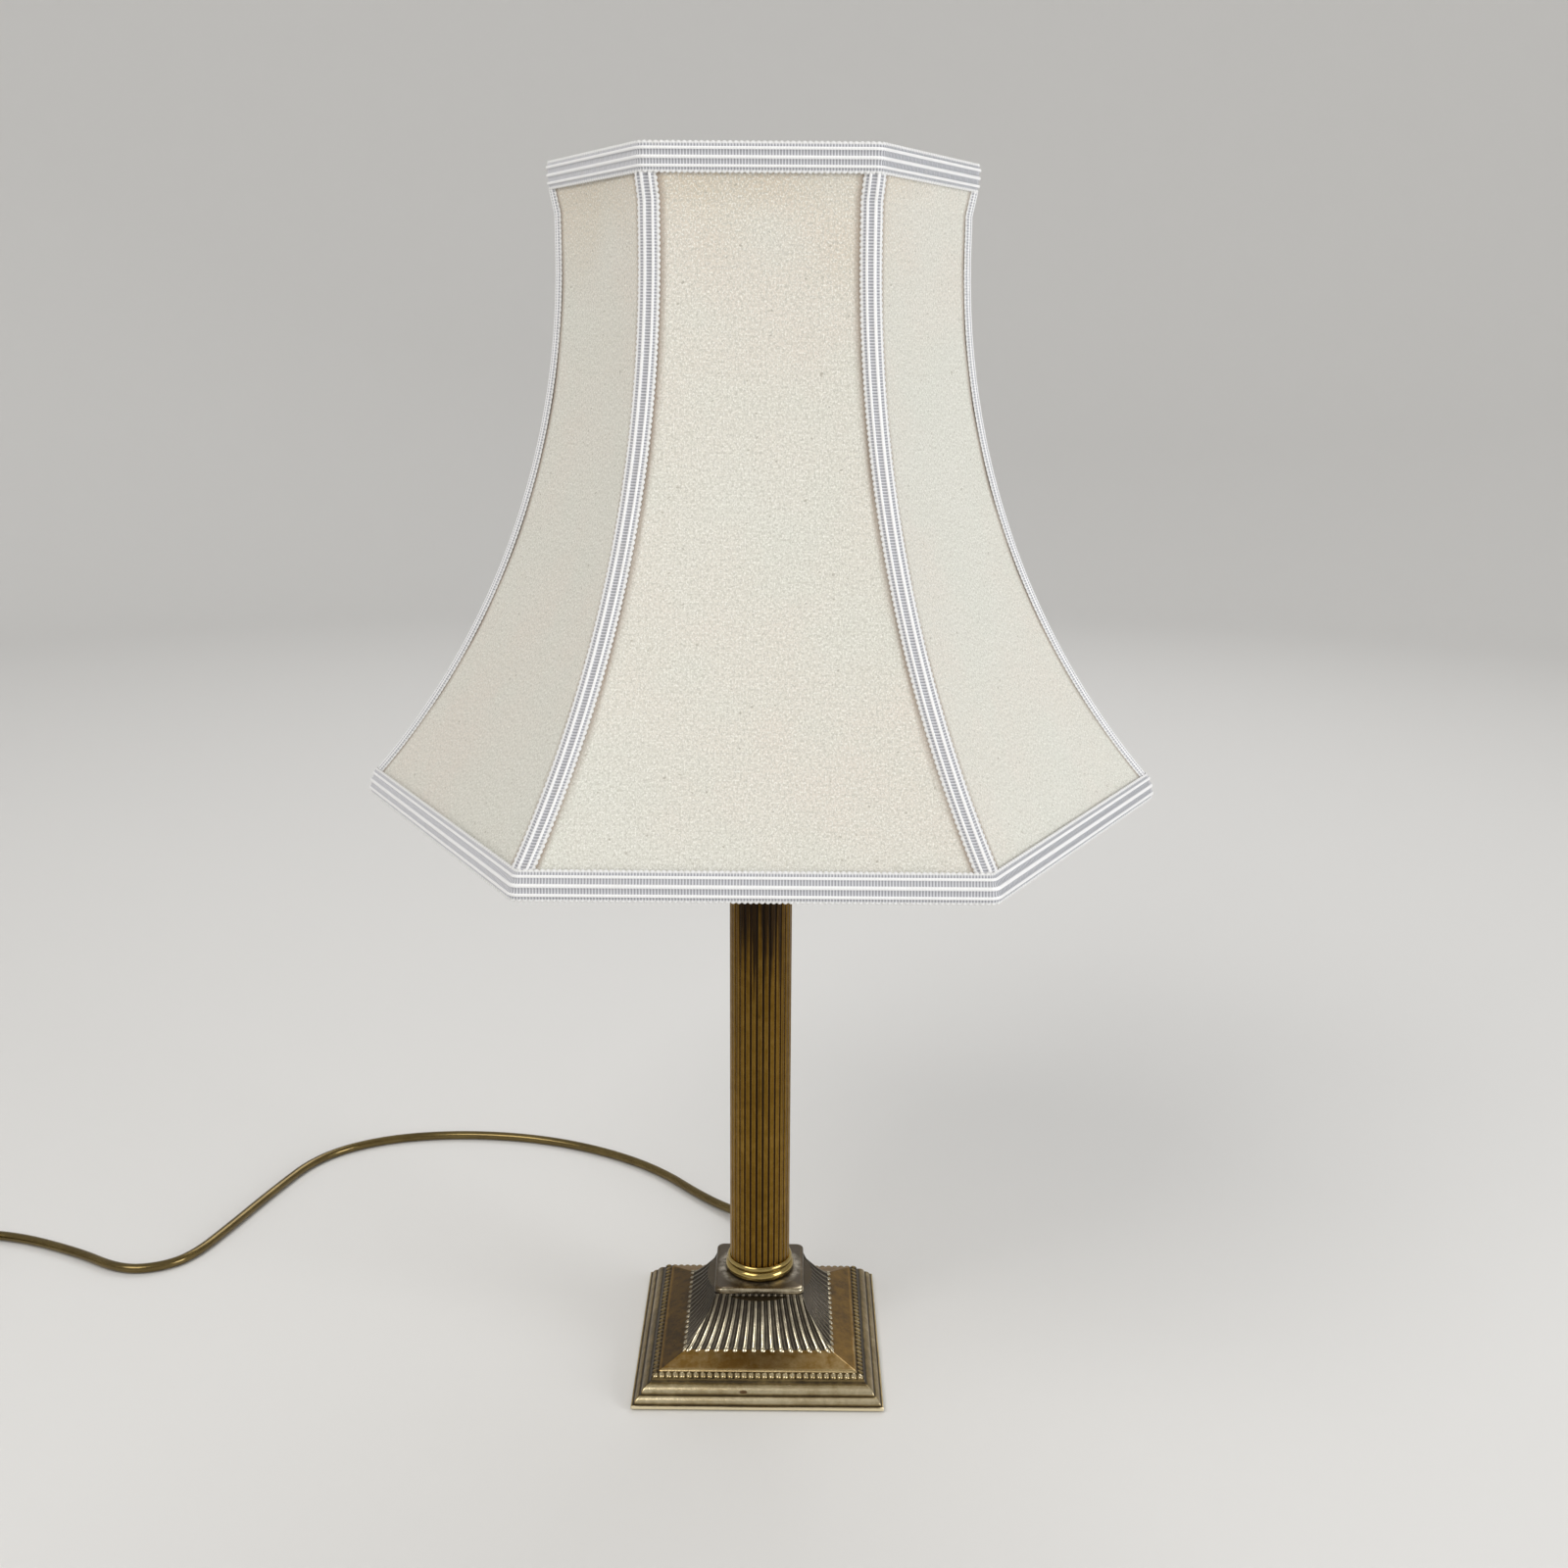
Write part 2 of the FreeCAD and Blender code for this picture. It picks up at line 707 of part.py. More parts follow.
def make_bush():
    """The tapered sleeve that guards the flex where it leaves the base, along +Y."""
    bore = CORD_RADIUS + S["bush_bore_gap"]
    inner_end = S["bush_seat_depth"] - S["bush_seat_gap"] - 1.4
    flange_start = S["bush_seat_gap"]
    flange_end = flange_start + S["bush_flange_thickness"]
    body = turned("cord_bush", [
        (bore, -inner_end),
        (S["bush_root_radius"], -inner_end),
        (S["bush_root_radius"], flange_start),
        (S["bush_flange_radius"], flange_start),
        (S["bush_flange_radius"], flange_end),
        (S["bush_root_radius"], flange_end),
        (S["bush_tip_radius"], S["bush_length"]),
        (bore, S["bush_length"]),
    ], Z_EXIT)
    body.Placement = Placement(Vector(0, 0, Z_EXIT.value), Rotation(Vector(1, 0, 0), -90))
    place(body, y=H_BASE - S["bush_seat_depth"], z=Z_EXIT)


def tube(label, outer, inner, height, z):
    """A plain round tube, or a washer."""
    solid = cylinder(label + "_outside", outer, height, z=z)
    bore = cylinder(label + "_bore", inner, height, z=z)
    return keep(boolean("Part::Cut", label, solid, bore), label)


def hexagon_nut(label, z):
    prism = doc.addObject("Part::Prism", label + "_outside")
    prism.Polygon = HEX_SIDES
    prism.setExpression("Circumradius", S["nut_radius"].text)
    prism.setExpression("Height", S["nut_height"].text)
    place(prism, z=z)
    bore = cylinder(label + "_bore", S["rod_radius"] + S["thread_clearance"], S["nut_height"], z=z)
    keep(boolean("Part::Cut", label, prism, bore), label)


def make_rod():
    washer_z = Z_ROOF - S["washer_thickness"]
    nut_z = washer_z - S["nut_height"]
    rod_z = nut_z - S["rod_tail"]
    tube("rod_washer", S["washer_radius"], ROD_HOLE, S["washer_thickness"], washer_z)
    hexagon_nut("rod_nut", nut_z)
    hexagon_nut("rod_locknut", Z_LOCKNUT)
    tube("threaded_rod", S["rod_radius"], S["rod_bore_radius"], TOP_OF_ROD - rod_z, rod_z)


def make_column():
    bulge = 0.268
    round_share = 0.6
    foot_x = S["foot_ring_radius"] - S["foot_ring_height"] * bulge
    neck_x = S["neck_ring_radius"] - S["neck_ring_height"] * bulge
    spigot = S["column_bore_radius"] - S["spigot_gap"]
    foot_top = S["foot_ring_height"]
    ring_top = foot_top + S["neck_ring_height"]
    turned("column_foot_ring", [
        (ROD_HOLE, 0),
        (foot_x, 0),
        (foot_x, foot_top, foot_top * round_share, 1),
        (neck_x, foot_top),
        (neck_x, ring_top, S["neck_ring_height"] * round_share, 1),
        (spigot, ring_top),
        (spigot, ring_top + S["spigot_height"]),
        (ROD_HOLE, ring_top + S["spigot_height"]),
    ], Z_BASE_TOP)
    turned("column_top_ring", [
        (ROD_HOLE, -S["spigot_height"]),
        (spigot, -S["spigot_height"]),
        (spigot, 0),
        (neck_x, 0),
        (neck_x, S["neck_ring_height"], S["neck_ring_height"] * round_share, 1),
        (foot_x, S["neck_ring_height"]),
        (foot_x, ring_top, foot_top * round_share, 1),
        (ROD_HOLE, ring_top),
    ], Z_COLUMN_TOP)

    body = new_body("column_tube")
    plan = sketch_on(body, "column_plan", "XY_Plane")
    circle_in(plan, 0, 0, S["column_radius"], "outer_")
    circle_in(plan, 0, 0, S["column_bore_radius"], "inner_")
    pad = body.newObject("PartDesign::Pad", "column_pad")
    pad.Profile = plan
    pad.setExpression("Length", S["column_height"].text)
    doc.recompute()
    flute = sketch_on(body, "flute_plan", "XY_Plane")
    side = S["flute_width"] / 2
    outline(flute, [
        (S["column_radius"] - S["flute_depth"], -side),
        (S["column_radius"] + S["flute_depth"], -side),
        (S["column_radius"] + S["flute_depth"], side),
        (S["column_radius"] - S["flute_depth"], side),
    ])
    cut = body.newObject("PartDesign::Pocket", "flute_cut")
    cut.Profile = flute
    cut.Reversed = True
    cut.setExpression("Length", S["column_height"].text)
    doc.recompute()
    ring = body.newObject("PartDesign::PolarPattern", "flute_ring")
    ring.Originals = [cut]
    ring.Axis = (flute, ["N_Axis"])
    ring.Angle = 360
    ring.setExpression("Occurrences", "Sizes.flute_count")
    body.Tip = ring
    place(body, z=Z_COLUMN)
    keep(body, "column_tube")

    flare_z = S["capital_foot_rise"] + S["capital_flare_rise"]
    flare_half = S["capital_foot_half"] + S["capital_flare"]
    slab_half = flare_half + S["capital_slab_overhang"]
    solid = square_moulding("capital_solid", [
        (S["capital_foot_half"], 0),
        (S["capital_foot_half"], S["capital_foot_rise"]),
        (flare_half, flare_z, S["capital_flare"] * 1.1, -1),
        (slab_half, flare_z),
        (slab_half, CAPITAL_HEIGHT),
    ], slab_half * 2)
    bore = cylinder("capital_bore", ROD_HOLE, CAPITAL_HEIGHT)
    capital = boolean("Part::Cut", "capital", solid, bore)
    place(capital, z=Z_CAPITAL)
    keep(capital, "capital")


# ---------------------------------------------------------------- lampholder
SHELL_BORE = S["holder_radius"] - S["holder_wall"]
INSERT_RADIUS = SHELL_BORE - S["insert_gap"]


def make_holder():
    rod_bore = S["rod_radius"] + S["thread_clearance"]
    neck = S["holder_neck_height"]
    bowl_top = neck + S["holder_bowl_height"]
    wall = S["holder_wall"]
    bowl_floor = neck + wall * 1.2
    curve = S["holder_bowl_height"] * 1.55
    turned("holder_cap", [
        (rod_bore, 0),
        (S["holder_neck_radius"], 0),
        (S["holder_neck_radius"], neck),
        (S["holder_radius"], bowl_top, curve, 1),
        (SHELL_BORE, bowl_top),
        (S["holder_neck_radius"], bowl_floor, curve - wall, -1),
        (rod_bore, bowl_floor),
    ], Z_HOLDER)

    sideways = Rotation(Vector(0, 1, 0), 90)
    solid = cylinder("shell_outside", S["holder_radius"], S["holder_height"], z=Z_SHELL)
    bore = cylinder("shell_bore", SHELL_BORE, S["holder_height"], z=Z_SHELL)
    hole = cylinder("shell_bar_hole", S["bar_radius"] + S["ring_clearance"], S["holder_radius"] * 2.4,
                    x=-(S["holder_radius"] * 1.2), z=Z_BAR, rotation=sideways)
    hollow = boolean("Part::Cut", "shell_hollow", solid, bore)
    keep(boolean("Part::Cut", "holder_shell", hollow, hole), "holder_shell")

    block_top = S["insert_block_height"]
    cup_top = block_top + S["insert_cup_height"]
    cup_bore = S["socket_radius"] + S["thread_clearance"]
    insert = new_body("insulator_solid")
    sketch = sketch_on(insert, "insulator_outline", "XZ_Plane")
    outline(sketch, [
        (0, 0),
        (INSERT_RADIUS, 0),
        (INSERT_RADIUS, cup_top),
        (cup_bore, cup_top),
        (cup_bore, block_top),
        (0, block_top),
    ])
    turning = insert.newObject("PartDesign::Revolution", "insulator_turning")
    turning.Profile = sketch
    turning.ReferenceAxis = (sketch, ["V_Axis"])
    turning.Angle = 360
    place(insert, z=Z_SHELL)
    bar_bore = cylinder("insulator_bar_bore", S["bar_radius"] + S["bar_clearance"], INSERT_RADIUS * 2.4,
                        x=-(INSERT_RADIUS * 1.2), z=Z_BAR, rotation=sideways)
    keep(boolean("Part::Cut", "holder_insulator", insert, bar_bore), "holder_insulator")

    socket_foot = 2.0
    tube("holder_screw_shell", S["socket_radius"], S["socket_radius"] - S["socket_wall"],
         S["insert_cup_height"] - socket_foot, Z_CONTACT + socket_foot)
    keep(cylinder("holder_contact", S["contact_radius"], S["contact_height"], z=Z_CONTACT), "holder_contact")
    terminals = []
    for side in (-1, 1):
        terminals.append(cylinder("terminal_%s" % ("front" if side < 0 else "rear"), S["terminal_radius"],
                                  S["terminal_height"], y=S["terminal_spacing"] / 2 * side,
                                  z=Z_SHELL - S["terminal_height"]))
    keep(gathered("terminal_screws", terminals), "terminal_screws")
    bar = cylinder("switch_bar", S["bar_radius"], S["bar_length"],
                   x=-(S["bar_length"] / 2) - S["bar_travel"], z=Z_BAR, rotation=sideways)
    keep(bar, "switch_bar")
    ring_bore = S["holder_radius"] + S["ring_clearance"]
    tube("shade_ring_lower", S["shade_ring_radius"], ring_bore, S["shade_ring_thickness"], Z_LOWER_RING)
    tube("shade_ring_upper", S["shade_ring_radius"], ring_bore, S["shade_ring_thickness"], Z_UPPER_RING)


def make_bulb():
    button = S["bulb_button_height"]
    cap_wall = S["bulb_cap_wall"]
    cap_radius = S["bulb_cap_radius"]
    keep(cylinder("bulb_contact", S["bulb_button_radius"], button, z=Z_BULB), "bulb_contact")
    turned("bulb_cap", [
        (0, 0),
        (cap_radius * 0.68, 0),
        (cap_radius, cap_radius * 0.27),
        (cap_radius, S["bulb_cap_height"]),
        (cap_radius - cap_wall, S["bulb_cap_height"]),
        (cap_radius - cap_wall, cap_radius * 0.27 + cap_wall * 0.5),
        (cap_radius * 0.68 - cap_wall * 0.5, cap_wall),
        (0, cap_wall),
    ], Z_BULB + button)

    ball = S["bulb_radius"]
    neck = S["bulb_neck_radius"] - S["thread_clearance"]
    wall = S["bulb_wall"]
    centre_z = S["bulb_length"] - ball
    glass_foot = button + S["bulb_cap_height"] * 0.72
    flare_foot = button + S["bulb_cap_height"] * 1.16
    rise = centre_z - flare_foot
    flare = (rise * rise + neck * neck - ball * ball) / ((ball - neck) * 2)
    flare_x = neck + flare
    inner_flare = flare + wall
    share = flare / (flare + ball)
    inner_share = inner_flare / (flare + ball)
    turned("bulb_glass", [
        (neck - wall, glass_foot),
        (neck, glass_foot),
        (neck, flare_foot),
        (flare_x - flare_x * share, flare_foot + rise * share, flare, -1),
        (0, S["bulb_length"], ball, 1),
        (0, S["bulb_length"] - wall),
        (flare_x - flare_x * inner_share, flare_foot + rise * inner_share, ball - wall, -1),
        (neck - wall, flare_foot, inner_flare, 1),
    ], Z_BULB)

    flange = neck - wall - 0.2
    stem_top = S["stem_height"]
    turned("bulb_stem", [
        (0, 0),
        (flange, 0),
        (flange, 1.0),
        (S["stem_radius"], 6.0),
        (S["stem_radius"] * 0.7, stem_top),
        (0, stem_top),
    ], Z_BULB + glass_foot)
    half = S["stem_radius"] * 0.55
    leg = S["filament_height"] - half
    wire("bulb_filament", "XZ_Plane", [
        (-half, 0),
        (-half, leg),
        (0, leg + half, half, -1),
        (half, leg, half, -1),
        (half, 0),
    ], S["filament_wire"], Z_BULB + glass_foot + stem_top)


def wire(label, role, path, radius, z, rotation=None):
    """A round wire along an open path that starts straight up or down at local height 0."""
    body = new_body(label)
    spine = sketch_on(body, label + "_path", role)
    outline(spine, path, closed=False)
    section = sketch_on(body, label + "_section", "XY_Plane")
    if role == "XZ_Plane":
        circle_in(section, path[0][0], 0, radius)
    else:
        circle_in(section, 0, path[0][0], radius)
    doc.recompute()
    pipe = body.newObject("PartDesign::AdditivePipe", label + "_pipe")
    pipe.Profile = section
    pipe.Spine = spine
    pipe.Transition = "Round corner"
    if rotation is not None:
        body.Placement = Placement(Vector(), rotation)
    place(body, z=z)
    return keep(body, label)


# ---------------------------------------------------------------- shade
Z_SHADE_TOP = Z_FITTER + S["shade_above_fitter"]
Z_FLARE = Z_SHADE_TOP - S["shade_top_edge"]
Z_WAIST_TOP = Z_FLARE - S["shade_flare_rise"]
Z_WAIST = Z_WAIST_TOP - S["shade_waist_rise"]
Z_SWEEP = Z_WAIST - S["shade_sweep_rise"]
Z_HEM = Z_SWEEP - S["shade_hem_rise"]
Z_SHADE_FOOT = Z_HEM - S["shade_hem_edge"]
SWEEP_X = S["shade_waist_half"] + S["shade_sweep_radius"]


def sweep_half(offset):
    """Flat-to-centre size at the foot of the sweep, for a face this far outside the fabric's."""
    reach = S["shade_sweep_radius"] - offset
    return SWEEP_X - root(reach * reach - S["shade_sweep_rise"] * S["shade_sweep_rise"])


HEM_HALF = sweep_half(as_size(0)) + S["shade_hem_flare"]


def sweep_up(offset):
    """The middle of the shade's side, from the foot of the sweep up to the top edge's foot."""
    waist = S["shade_waist_half"] + offset
    return [
        (sweep_half(offset), Z_SWEEP),
        (waist, Z_WAIST, S["shade_sweep_radius"] - offset, -1),
        (waist, Z_WAIST_TOP),
        (waist + S["shade_top_flare"], Z_FLARE),
    ]


def side_up(offset):
    """The whole side of the shade, from the hem up to the top edge."""
    hem = HEM_HALF + offset
    top = S["shade_waist_half"] + S["shade_top_flare"] + offset
    return [(hem, Z_SHADE_FOOT), (hem, Z_HEM)] + sweep_up(offset) + [(top, Z_SHADE_TOP)]


def side_down(corners):
    """The same line travelled downwards."""
    back = []
    for index in range(len(corners) - 1, -1, -1):
        arriving = corners[index + 1] if index + 1 < len(corners) else ()
        arc = (arriving[2], -arriving[3]) if len(arriving) == 4 else ()
        back.append(tuple(corners[index][:2]) + arc)
    return back


def side_strip(name, outer, inner):
    """A strip of the side that faces +X, much wider than the shade."""
    body = new_body(name)
    pad_on(body, name + "_pad", "XZ_Plane", outer + side_down(inner), HEM_HALF * 1.5, symmetric=True)
    return body


def upright_prism(name, corners):
    body = new_body(name)
    pad_on(body, name + "_pad", "XY_Plane", corners, Z_SHADE_TOP * 1.1)
    return body


def make_panels():
    inner = -S["fabric_thickness"]
    strip = side_strip("panel_strip", side_up(as_size(0)), side_up(inner))
    reach = HEM_HALF * 1.1
    gap = S["braid_gap"] * 2
    wedge = upright_prism("panel_wedge", [
        (gap, 0),
        (gap + reach, -(reach * TAN_HALF)),
        (gap + reach, reach * TAN_HALF),
    ])
    for number in range(HEX_SIDES):
        label = "shade_panel_%d" % (number + 1)
        panel = boolean("Part::Common", label, strip, wedge)
        panel.Placement = about_z(-90 + 60 * number)
        keep(panel, label)


def make_seams():
    outer = S["braid_gap"] + S["braid_thickness"]
    strip = side_strip("braid_strip", sweep_up(outer), sweep_up(S["braid_gap"]))
    reach = HEM_HALF * 1.1
    width = S["braid_half_width"]
    halves = []
    for side, word in ((1, "left"), (-1, "right")):
        edge = [
            (0, 0),
            (reach, reach * TAN_HALF * side),
            (reach, (reach * TAN_HALF - width) * side),
            (0, -width * side),
        ]
        if side > 0:
            edge = edge[::-1]
        prism = upright_prism("braid_prism_" + word, edge)
        half = boolean("Part::Common", "braid_half_" + word, strip, prism)
        half.Placement = about_z(-30 * side)
        halves.append(half)
    for number in range(HEX_SIDES):
        label = "trim_seam_%d" % (number + 1)
        seam = boolean("Part::Fuse", label, *halves)
        seam.Placement = about_z(60 * number)
        keep(seam, label)


def hex_bell(name, right_corners):
    """A six-sided solid: three slabs with this side outline, turned 60 degrees from each other."""
    slabs = []
    for number in range(3):
        body = new_body("%s_slab_%d" % (name, number + 1))
        pad_on(body, "%s_pad_%d" % (name, number + 1), "XZ_Plane", mirrored(right_corners),
               HEM_HALF * 3, symmetric=True)
        body.Placement = about_z(-90 + 60 * number)
        slabs.append(body)
    bell = doc.addObject("Part::MultiCommon", name)
    bell.Shapes = slabs
    return bell


def lining_side(offset):
    """The lining's side, which goes straight up behind the frame where the fabric flares."""
    trim = S["lining_edge_gap"]
    waist = S["shade_waist_half"] + offset
    return [
        (HEM_HALF + offset, Z_SHADE_FOOT + trim),
        (HEM_HALF + offset, Z_HEM),
        (sweep_half(offset), Z_SWEEP),
        (waist, Z_WAIST, S["shade_sweep_radius"] - offset, -1),
        (waist, Z_SHADE_TOP - trim),
    ]


def make_lining():
    face = -S["lining_stand_off"]
    outer = hex_bell("lining_outside", lining_side(face))
    inner = hex_bell("lining_inside", lining_side(face - S["lining_thickness"]))
    hollow = boolean("Part::Cut", "lining_hollow", outer, inner)
    holes = gathered("lining_arm_holes", [
        arm_cylinder("lining_hole_%d" % (number + 1), number, S["arm_wire"] / 2 + S["arm_hole_gap"], HEM_HALF)
        for number in range(3)])
    keep(boolean("Part::Cut", "shade_lining", hollow, holes), "shade_lining")


def make_bands():
    gap = S["braid_gap"]
    thick = S["band_thickness"]
    top_half = S["shade_waist_half"] + S["shade_top_flare"]
    top_z = Z_SHADE_TOP + S["band_overlap"]
    outer = hex_bell("top_band_outside", [(top_half + thick, Z_FLARE + gap), (top_half + thick, top_z)])
    inner = hex_bell("top_band_inside", [(top_half + gap, Z_FLARE), (top_half + gap, top_z + 1.0)])
    keep(boolean("Part::Cut", "trim_top_band", outer, inner), "trim_top_band")

    hem_z = Z_SHADE_FOOT - S["band_overlap"]
    sweep_foot = sweep_half(as_size(0))
    outer = hex_bell("bottom_band_outside", [
        (HEM_HALF + thick, hem_z),
        (HEM_HALF + thick, Z_HEM),
        (HEM_HALF + thick - 1.0, Z_SWEEP - gap),
    ])
    inner = hex_bell("bottom_band_inside", [
        (HEM_HALF + gap, hem_z - 1.0),
        (HEM_HALF + gap, Z_HEM),
        (sweep_foot + gap, Z_SWEEP + gap),
    ])
    keep(boolean("Part::Cut", "trim_bottom_band", outer, inner), "trim_bottom_band")


WIRE_RADIUS = S["frame_wire"] / 2
STRUT_BEHIND = S["fabric_thickness"] + WIRE_RADIUS + S["frame_gap"]
STRUT_X = (S["shade_waist_half"] - STRUT_BEHIND) / COS_HALF
STRUT_RUN = (sweep_half(-STRUT_BEHIND) - S["shade_waist_half"] + STRUT_BEHIND) / COS_HALF
# The circle that leaves the waist upright and meets the fabric's sweep again at its foot.
STRUT_SWEEP_RADIUS = (S["shade_sweep_rise"] * S["shade_sweep_rise"] + STRUT_RUN * STRUT_RUN) / (STRUT_RUN * 2)
ARM_Z = Z_FITTER + S["fitter_ring_thickness"] / 2
ARM_DROP = Z_WAIST - ARM_Z
STRUT_AT_ARM = STRUT_X + STRUT_SWEEP_RADIUS - root(
    STRUT_SWEEP_RADIUS * STRUT_SWEEP_RADIUS - ARM_DROP * ARM_DROP)


def frame_ring(label, half, z):
    """A six-sided wire ring with rounded corners."""
    body = new_body(label)
    spine = sketch_on(body, label + "_path", "XY_Plane")
    corner = S["ring_corner_radius"]
    along = (half - corner) * TAN_HALF
    path = [(0, -half)]
    for number in range(HEX_SIDES):
        angle = math.radians(-90 + 60 * number)
        nx, ny = math.cos(angle), math.sin(angle)
        begin = (half * nx + along * ny, half * ny - along * nx)
        end = (half * nx - along * ny, half * ny + along * nx)
        if number > 0:
            path.append(begin + (corner, 1))
        path.append(end)
    path.append((-along, -half, corner, 1))
    outline(spine, path)
    section = sketch_on(body, label + "_section", "YZ_Plane")
    circle_in(section, -half, 0, WIRE_RADIUS)
    doc.recompute()
    pipe = body.newObject("PartDesign::AdditivePipe", label + "_pipe")
    pipe.Profile = section
    pipe.Spine = spine
    place(body, z=z)
    keep(body, label)


def arm_cylinder(name, number, radius, length, start=0.0):
    """A cylinder that leaves the lamp's axis at the height of the fitter, 120 degrees apart."""
    angle = 120 * number
    turning = Rotation(Vector(0, 0, 1), angle).multiply(Rotation(Vector(0, 1, 0), 90))
    start = as_size(start)
    direction = math.radians(angle)
    return cylinder(name, radius, length, x=start * math.cos(direction), y=start * math.sin(direction),
                    z=ARM_Z, rotation=turning)


def make_frame():
    top_half = S["shade_waist_half"] + S["shade_top_flare"] - STRUT_BEHIND
    hem_half = HEM_HALF - STRUT_BEHIND
    ring_top_z = Z_SHADE_TOP - S["lining_edge_gap"] - WIRE_RADIUS * 2
    ring_foot_z = Z_SHADE_FOOT + S["lining_edge_gap"] + WIRE_RADIUS
    frame_ring("frame_top_ring", top_half, ring_top_z)
    frame_ring("frame_bottom_ring", hem_half, ring_foot_z)

    start_z = ring_top_z - WIRE_RADIUS - S["frame_gap"]
    radius = STRUT_SWEEP_RADIUS
    bend_drop = S["shade_sweep_rise"] - 2.0
    bend_reach = root(radius * radius - bend_drop * bend_drop)
    bend_x = STRUT_X + radius - bend_reach
    corner = S["ring_corner_radius"]
    end_x = (hem_half - corner) / COS_HALF + corner
    end_z = ring_foot_z + WIRE_RADIUS + S["frame_gap"]
    across = end_x - bend_x
    down = Z_WAIST - bend_drop - end_z
    foot_radius = (across * across + down * down) * radius / ((bend_drop * down - bend_reach * across) * 2)
    struts = []
    for number in range(HEX_SIDES):
        strut = wire("strut_%d" % (number + 1), "XZ_Plane", [
            (STRUT_X, 0),
            (STRUT_X, Z_WAIST - start_z),
            (bend_x, Z_WAIST - bend_drop - start_z, radius, 1),
            (end_x, end_z - start_z, foot_radius, -1),
        ], WIRE_RADIUS, start_z, Rotation(Vector(0, 0, 1), 60 * number))
        SUBPARTS.pop(strut.Label)
        struts.append(strut)
    keep(gathered("frame_struts", struts), "frame_struts")

    tube("fitter_ring", S["fitter_ring_radius"], S["holder_radius"] + S["fitter_gap"],
         S["fitter_ring_thickness"], Z_FITTER)
    arm_length = STRUT_AT_ARM - WIRE_RADIUS - S["arm_end_gap"] - S["fitter_ring_radius"]
    arms = []
    for number in range(3):
        arms.append(arm_cylinder("arm_%d" % (number + 1), number, S["arm_wire"] / 2, arm_length,
                                 S["fitter_ring_radius"]))
    keep(gathered("fitter_arms", arms), "fitter_arms")


# ---------------------------------------------------------------- flex and plug
def soft_piece(label, shape):
    """A soft solid worked out from its route, kept as a plain shape."""
    piece = doc.addObject("Part::Feature", label)
    piece.Shape = shape
    return keep(piece, label)


def swept_tube(edges, radius):
    """A round tube along edges that join smoothly."""
    path = Part.Wire(edges)
    first = edges[0]
    start = first.valueAt(first.FirstParameter)
    heading = first.tangentAt(first.FirstParameter)
    circle = Part.Wire([Part.Circle(start, heading, radius).toShape()])
    shape = path.makePipeShell([circle], True, False)
    ideal = math.pi * radius ** 2 * path.Length
    print("   section x length %.0f mm3, tube %.0f mm3, length %.1f mm" % (ideal, shape.Volume, path.Length))
    return shape


def rounded_route(name, points):
    """Straight runs joined by tangent arcs, one arc at each point between the ends."""
    places = [Vector(*p) for p in points]
    edges = []
    here = places[0]
    smallest = 1e9
    for index in range(1, len(places) - 1):
        before = places[index] - places[index - 1]
        after = places[index + 1] - places[index]
        turn = before.getAngle(after)
        shorter = min(before.Length, after.Length)
        setback = CORNER_SHARE * shorter
        radius = setback / math.tan(turn / 2)
        smallest = min(smallest, radius)
        arrive = places[index] - before * (setback / before.Length)
        leave = places[index] + after * (setback / after.Length)
        toward = (arrive + leave) * 0.5 - places[index]
        depth = radius * (1 / math.cos(turn / 2) - 1)
        top = places[index] + toward * (depth / toward.Length)
        edges.append(Part.LineSegment(here, arrive).toShape())
        edges.append(Part.Arc(arrive, top, leave).toShape())
        here = leave
        print("   %s point %d turns %.1f deg on radius %.1f mm" % (name, index, math.degrees(turn), radius))
    edges.append(Part.LineSegment(here, places[-1]).toShape())
    print("%s: smallest radius %.1f mm" % (name, smallest))
    return edges


def coil_place(turn):
    """Where the coil's centre line is after this many turns."""
    mirrored_turn = min(turn, COIL_TURNS - turn)
    blend = max(mirrored_turn - COIL_CLIMB_START, 0.0)
    climb_half = COIL_TURNS / 2 - COIL_CLIMB_START
    inward = mirrored_turn - blend ** 2 / (2 * climb_half)
    radius = DIMENSIONS["coil_radius"] - DIMENSIONS["coil_pitch"] * inward
    share = min(max((turn - COIL_CLIMB_START) / (2 * climb_half), 0.0), 1.0)
    height = CORD_RADIUS.value + DIMENSIONS["coil_layer_rise"] * share ** 2 * (3 - 2 * share)
    angle = math.pi / 2 + 2 * math.pi * turn
    x = COIL_CENTRE[0] + radius * math.cos(angle)
    y = COIL_CENTRE[1] + radius * math.sin(angle)
    return Vector(x, y, height)


def arc_between(start, control, end):
    """The circle arc from start to end whose end tangents both pass through control."""
    middle = (start + end) * 0.5
    half_chord = (end - start).Length / 2
    outward = control - middle
    if outward.Length < 1e-6:
        return Part.LineSegment(start, end).toShape()
    lean = math.atan2(outward.Length, half_chord)
    top = middle + outward * (half_chord * math.tan(lean / 2) / outward.Length)
    return Part.Arc(start, top, end).toShape()


def biarc(start, start_way, end, end_way):
    """Two arcs that leave start along start_way and reach end along end_way."""
    chord = end - start
    both = start_way + end_way
    a = 2 * (1 - start_way.dot(end_way))
    b = 2 * chord.dot(both)
    c = -chord.dot(chord)
    if abs(a) < 1e-9:
        reach = -c / b
    else:
        reach = (-b + math.sqrt(b * b - 4 * a * c)) / (2 * a)
    first = start + start_way * reach
    last = end - end_way * reach
    joint = (first + last) * 0.5
    return [arc_between(start, first, joint), arc_between(joint, last, end)]


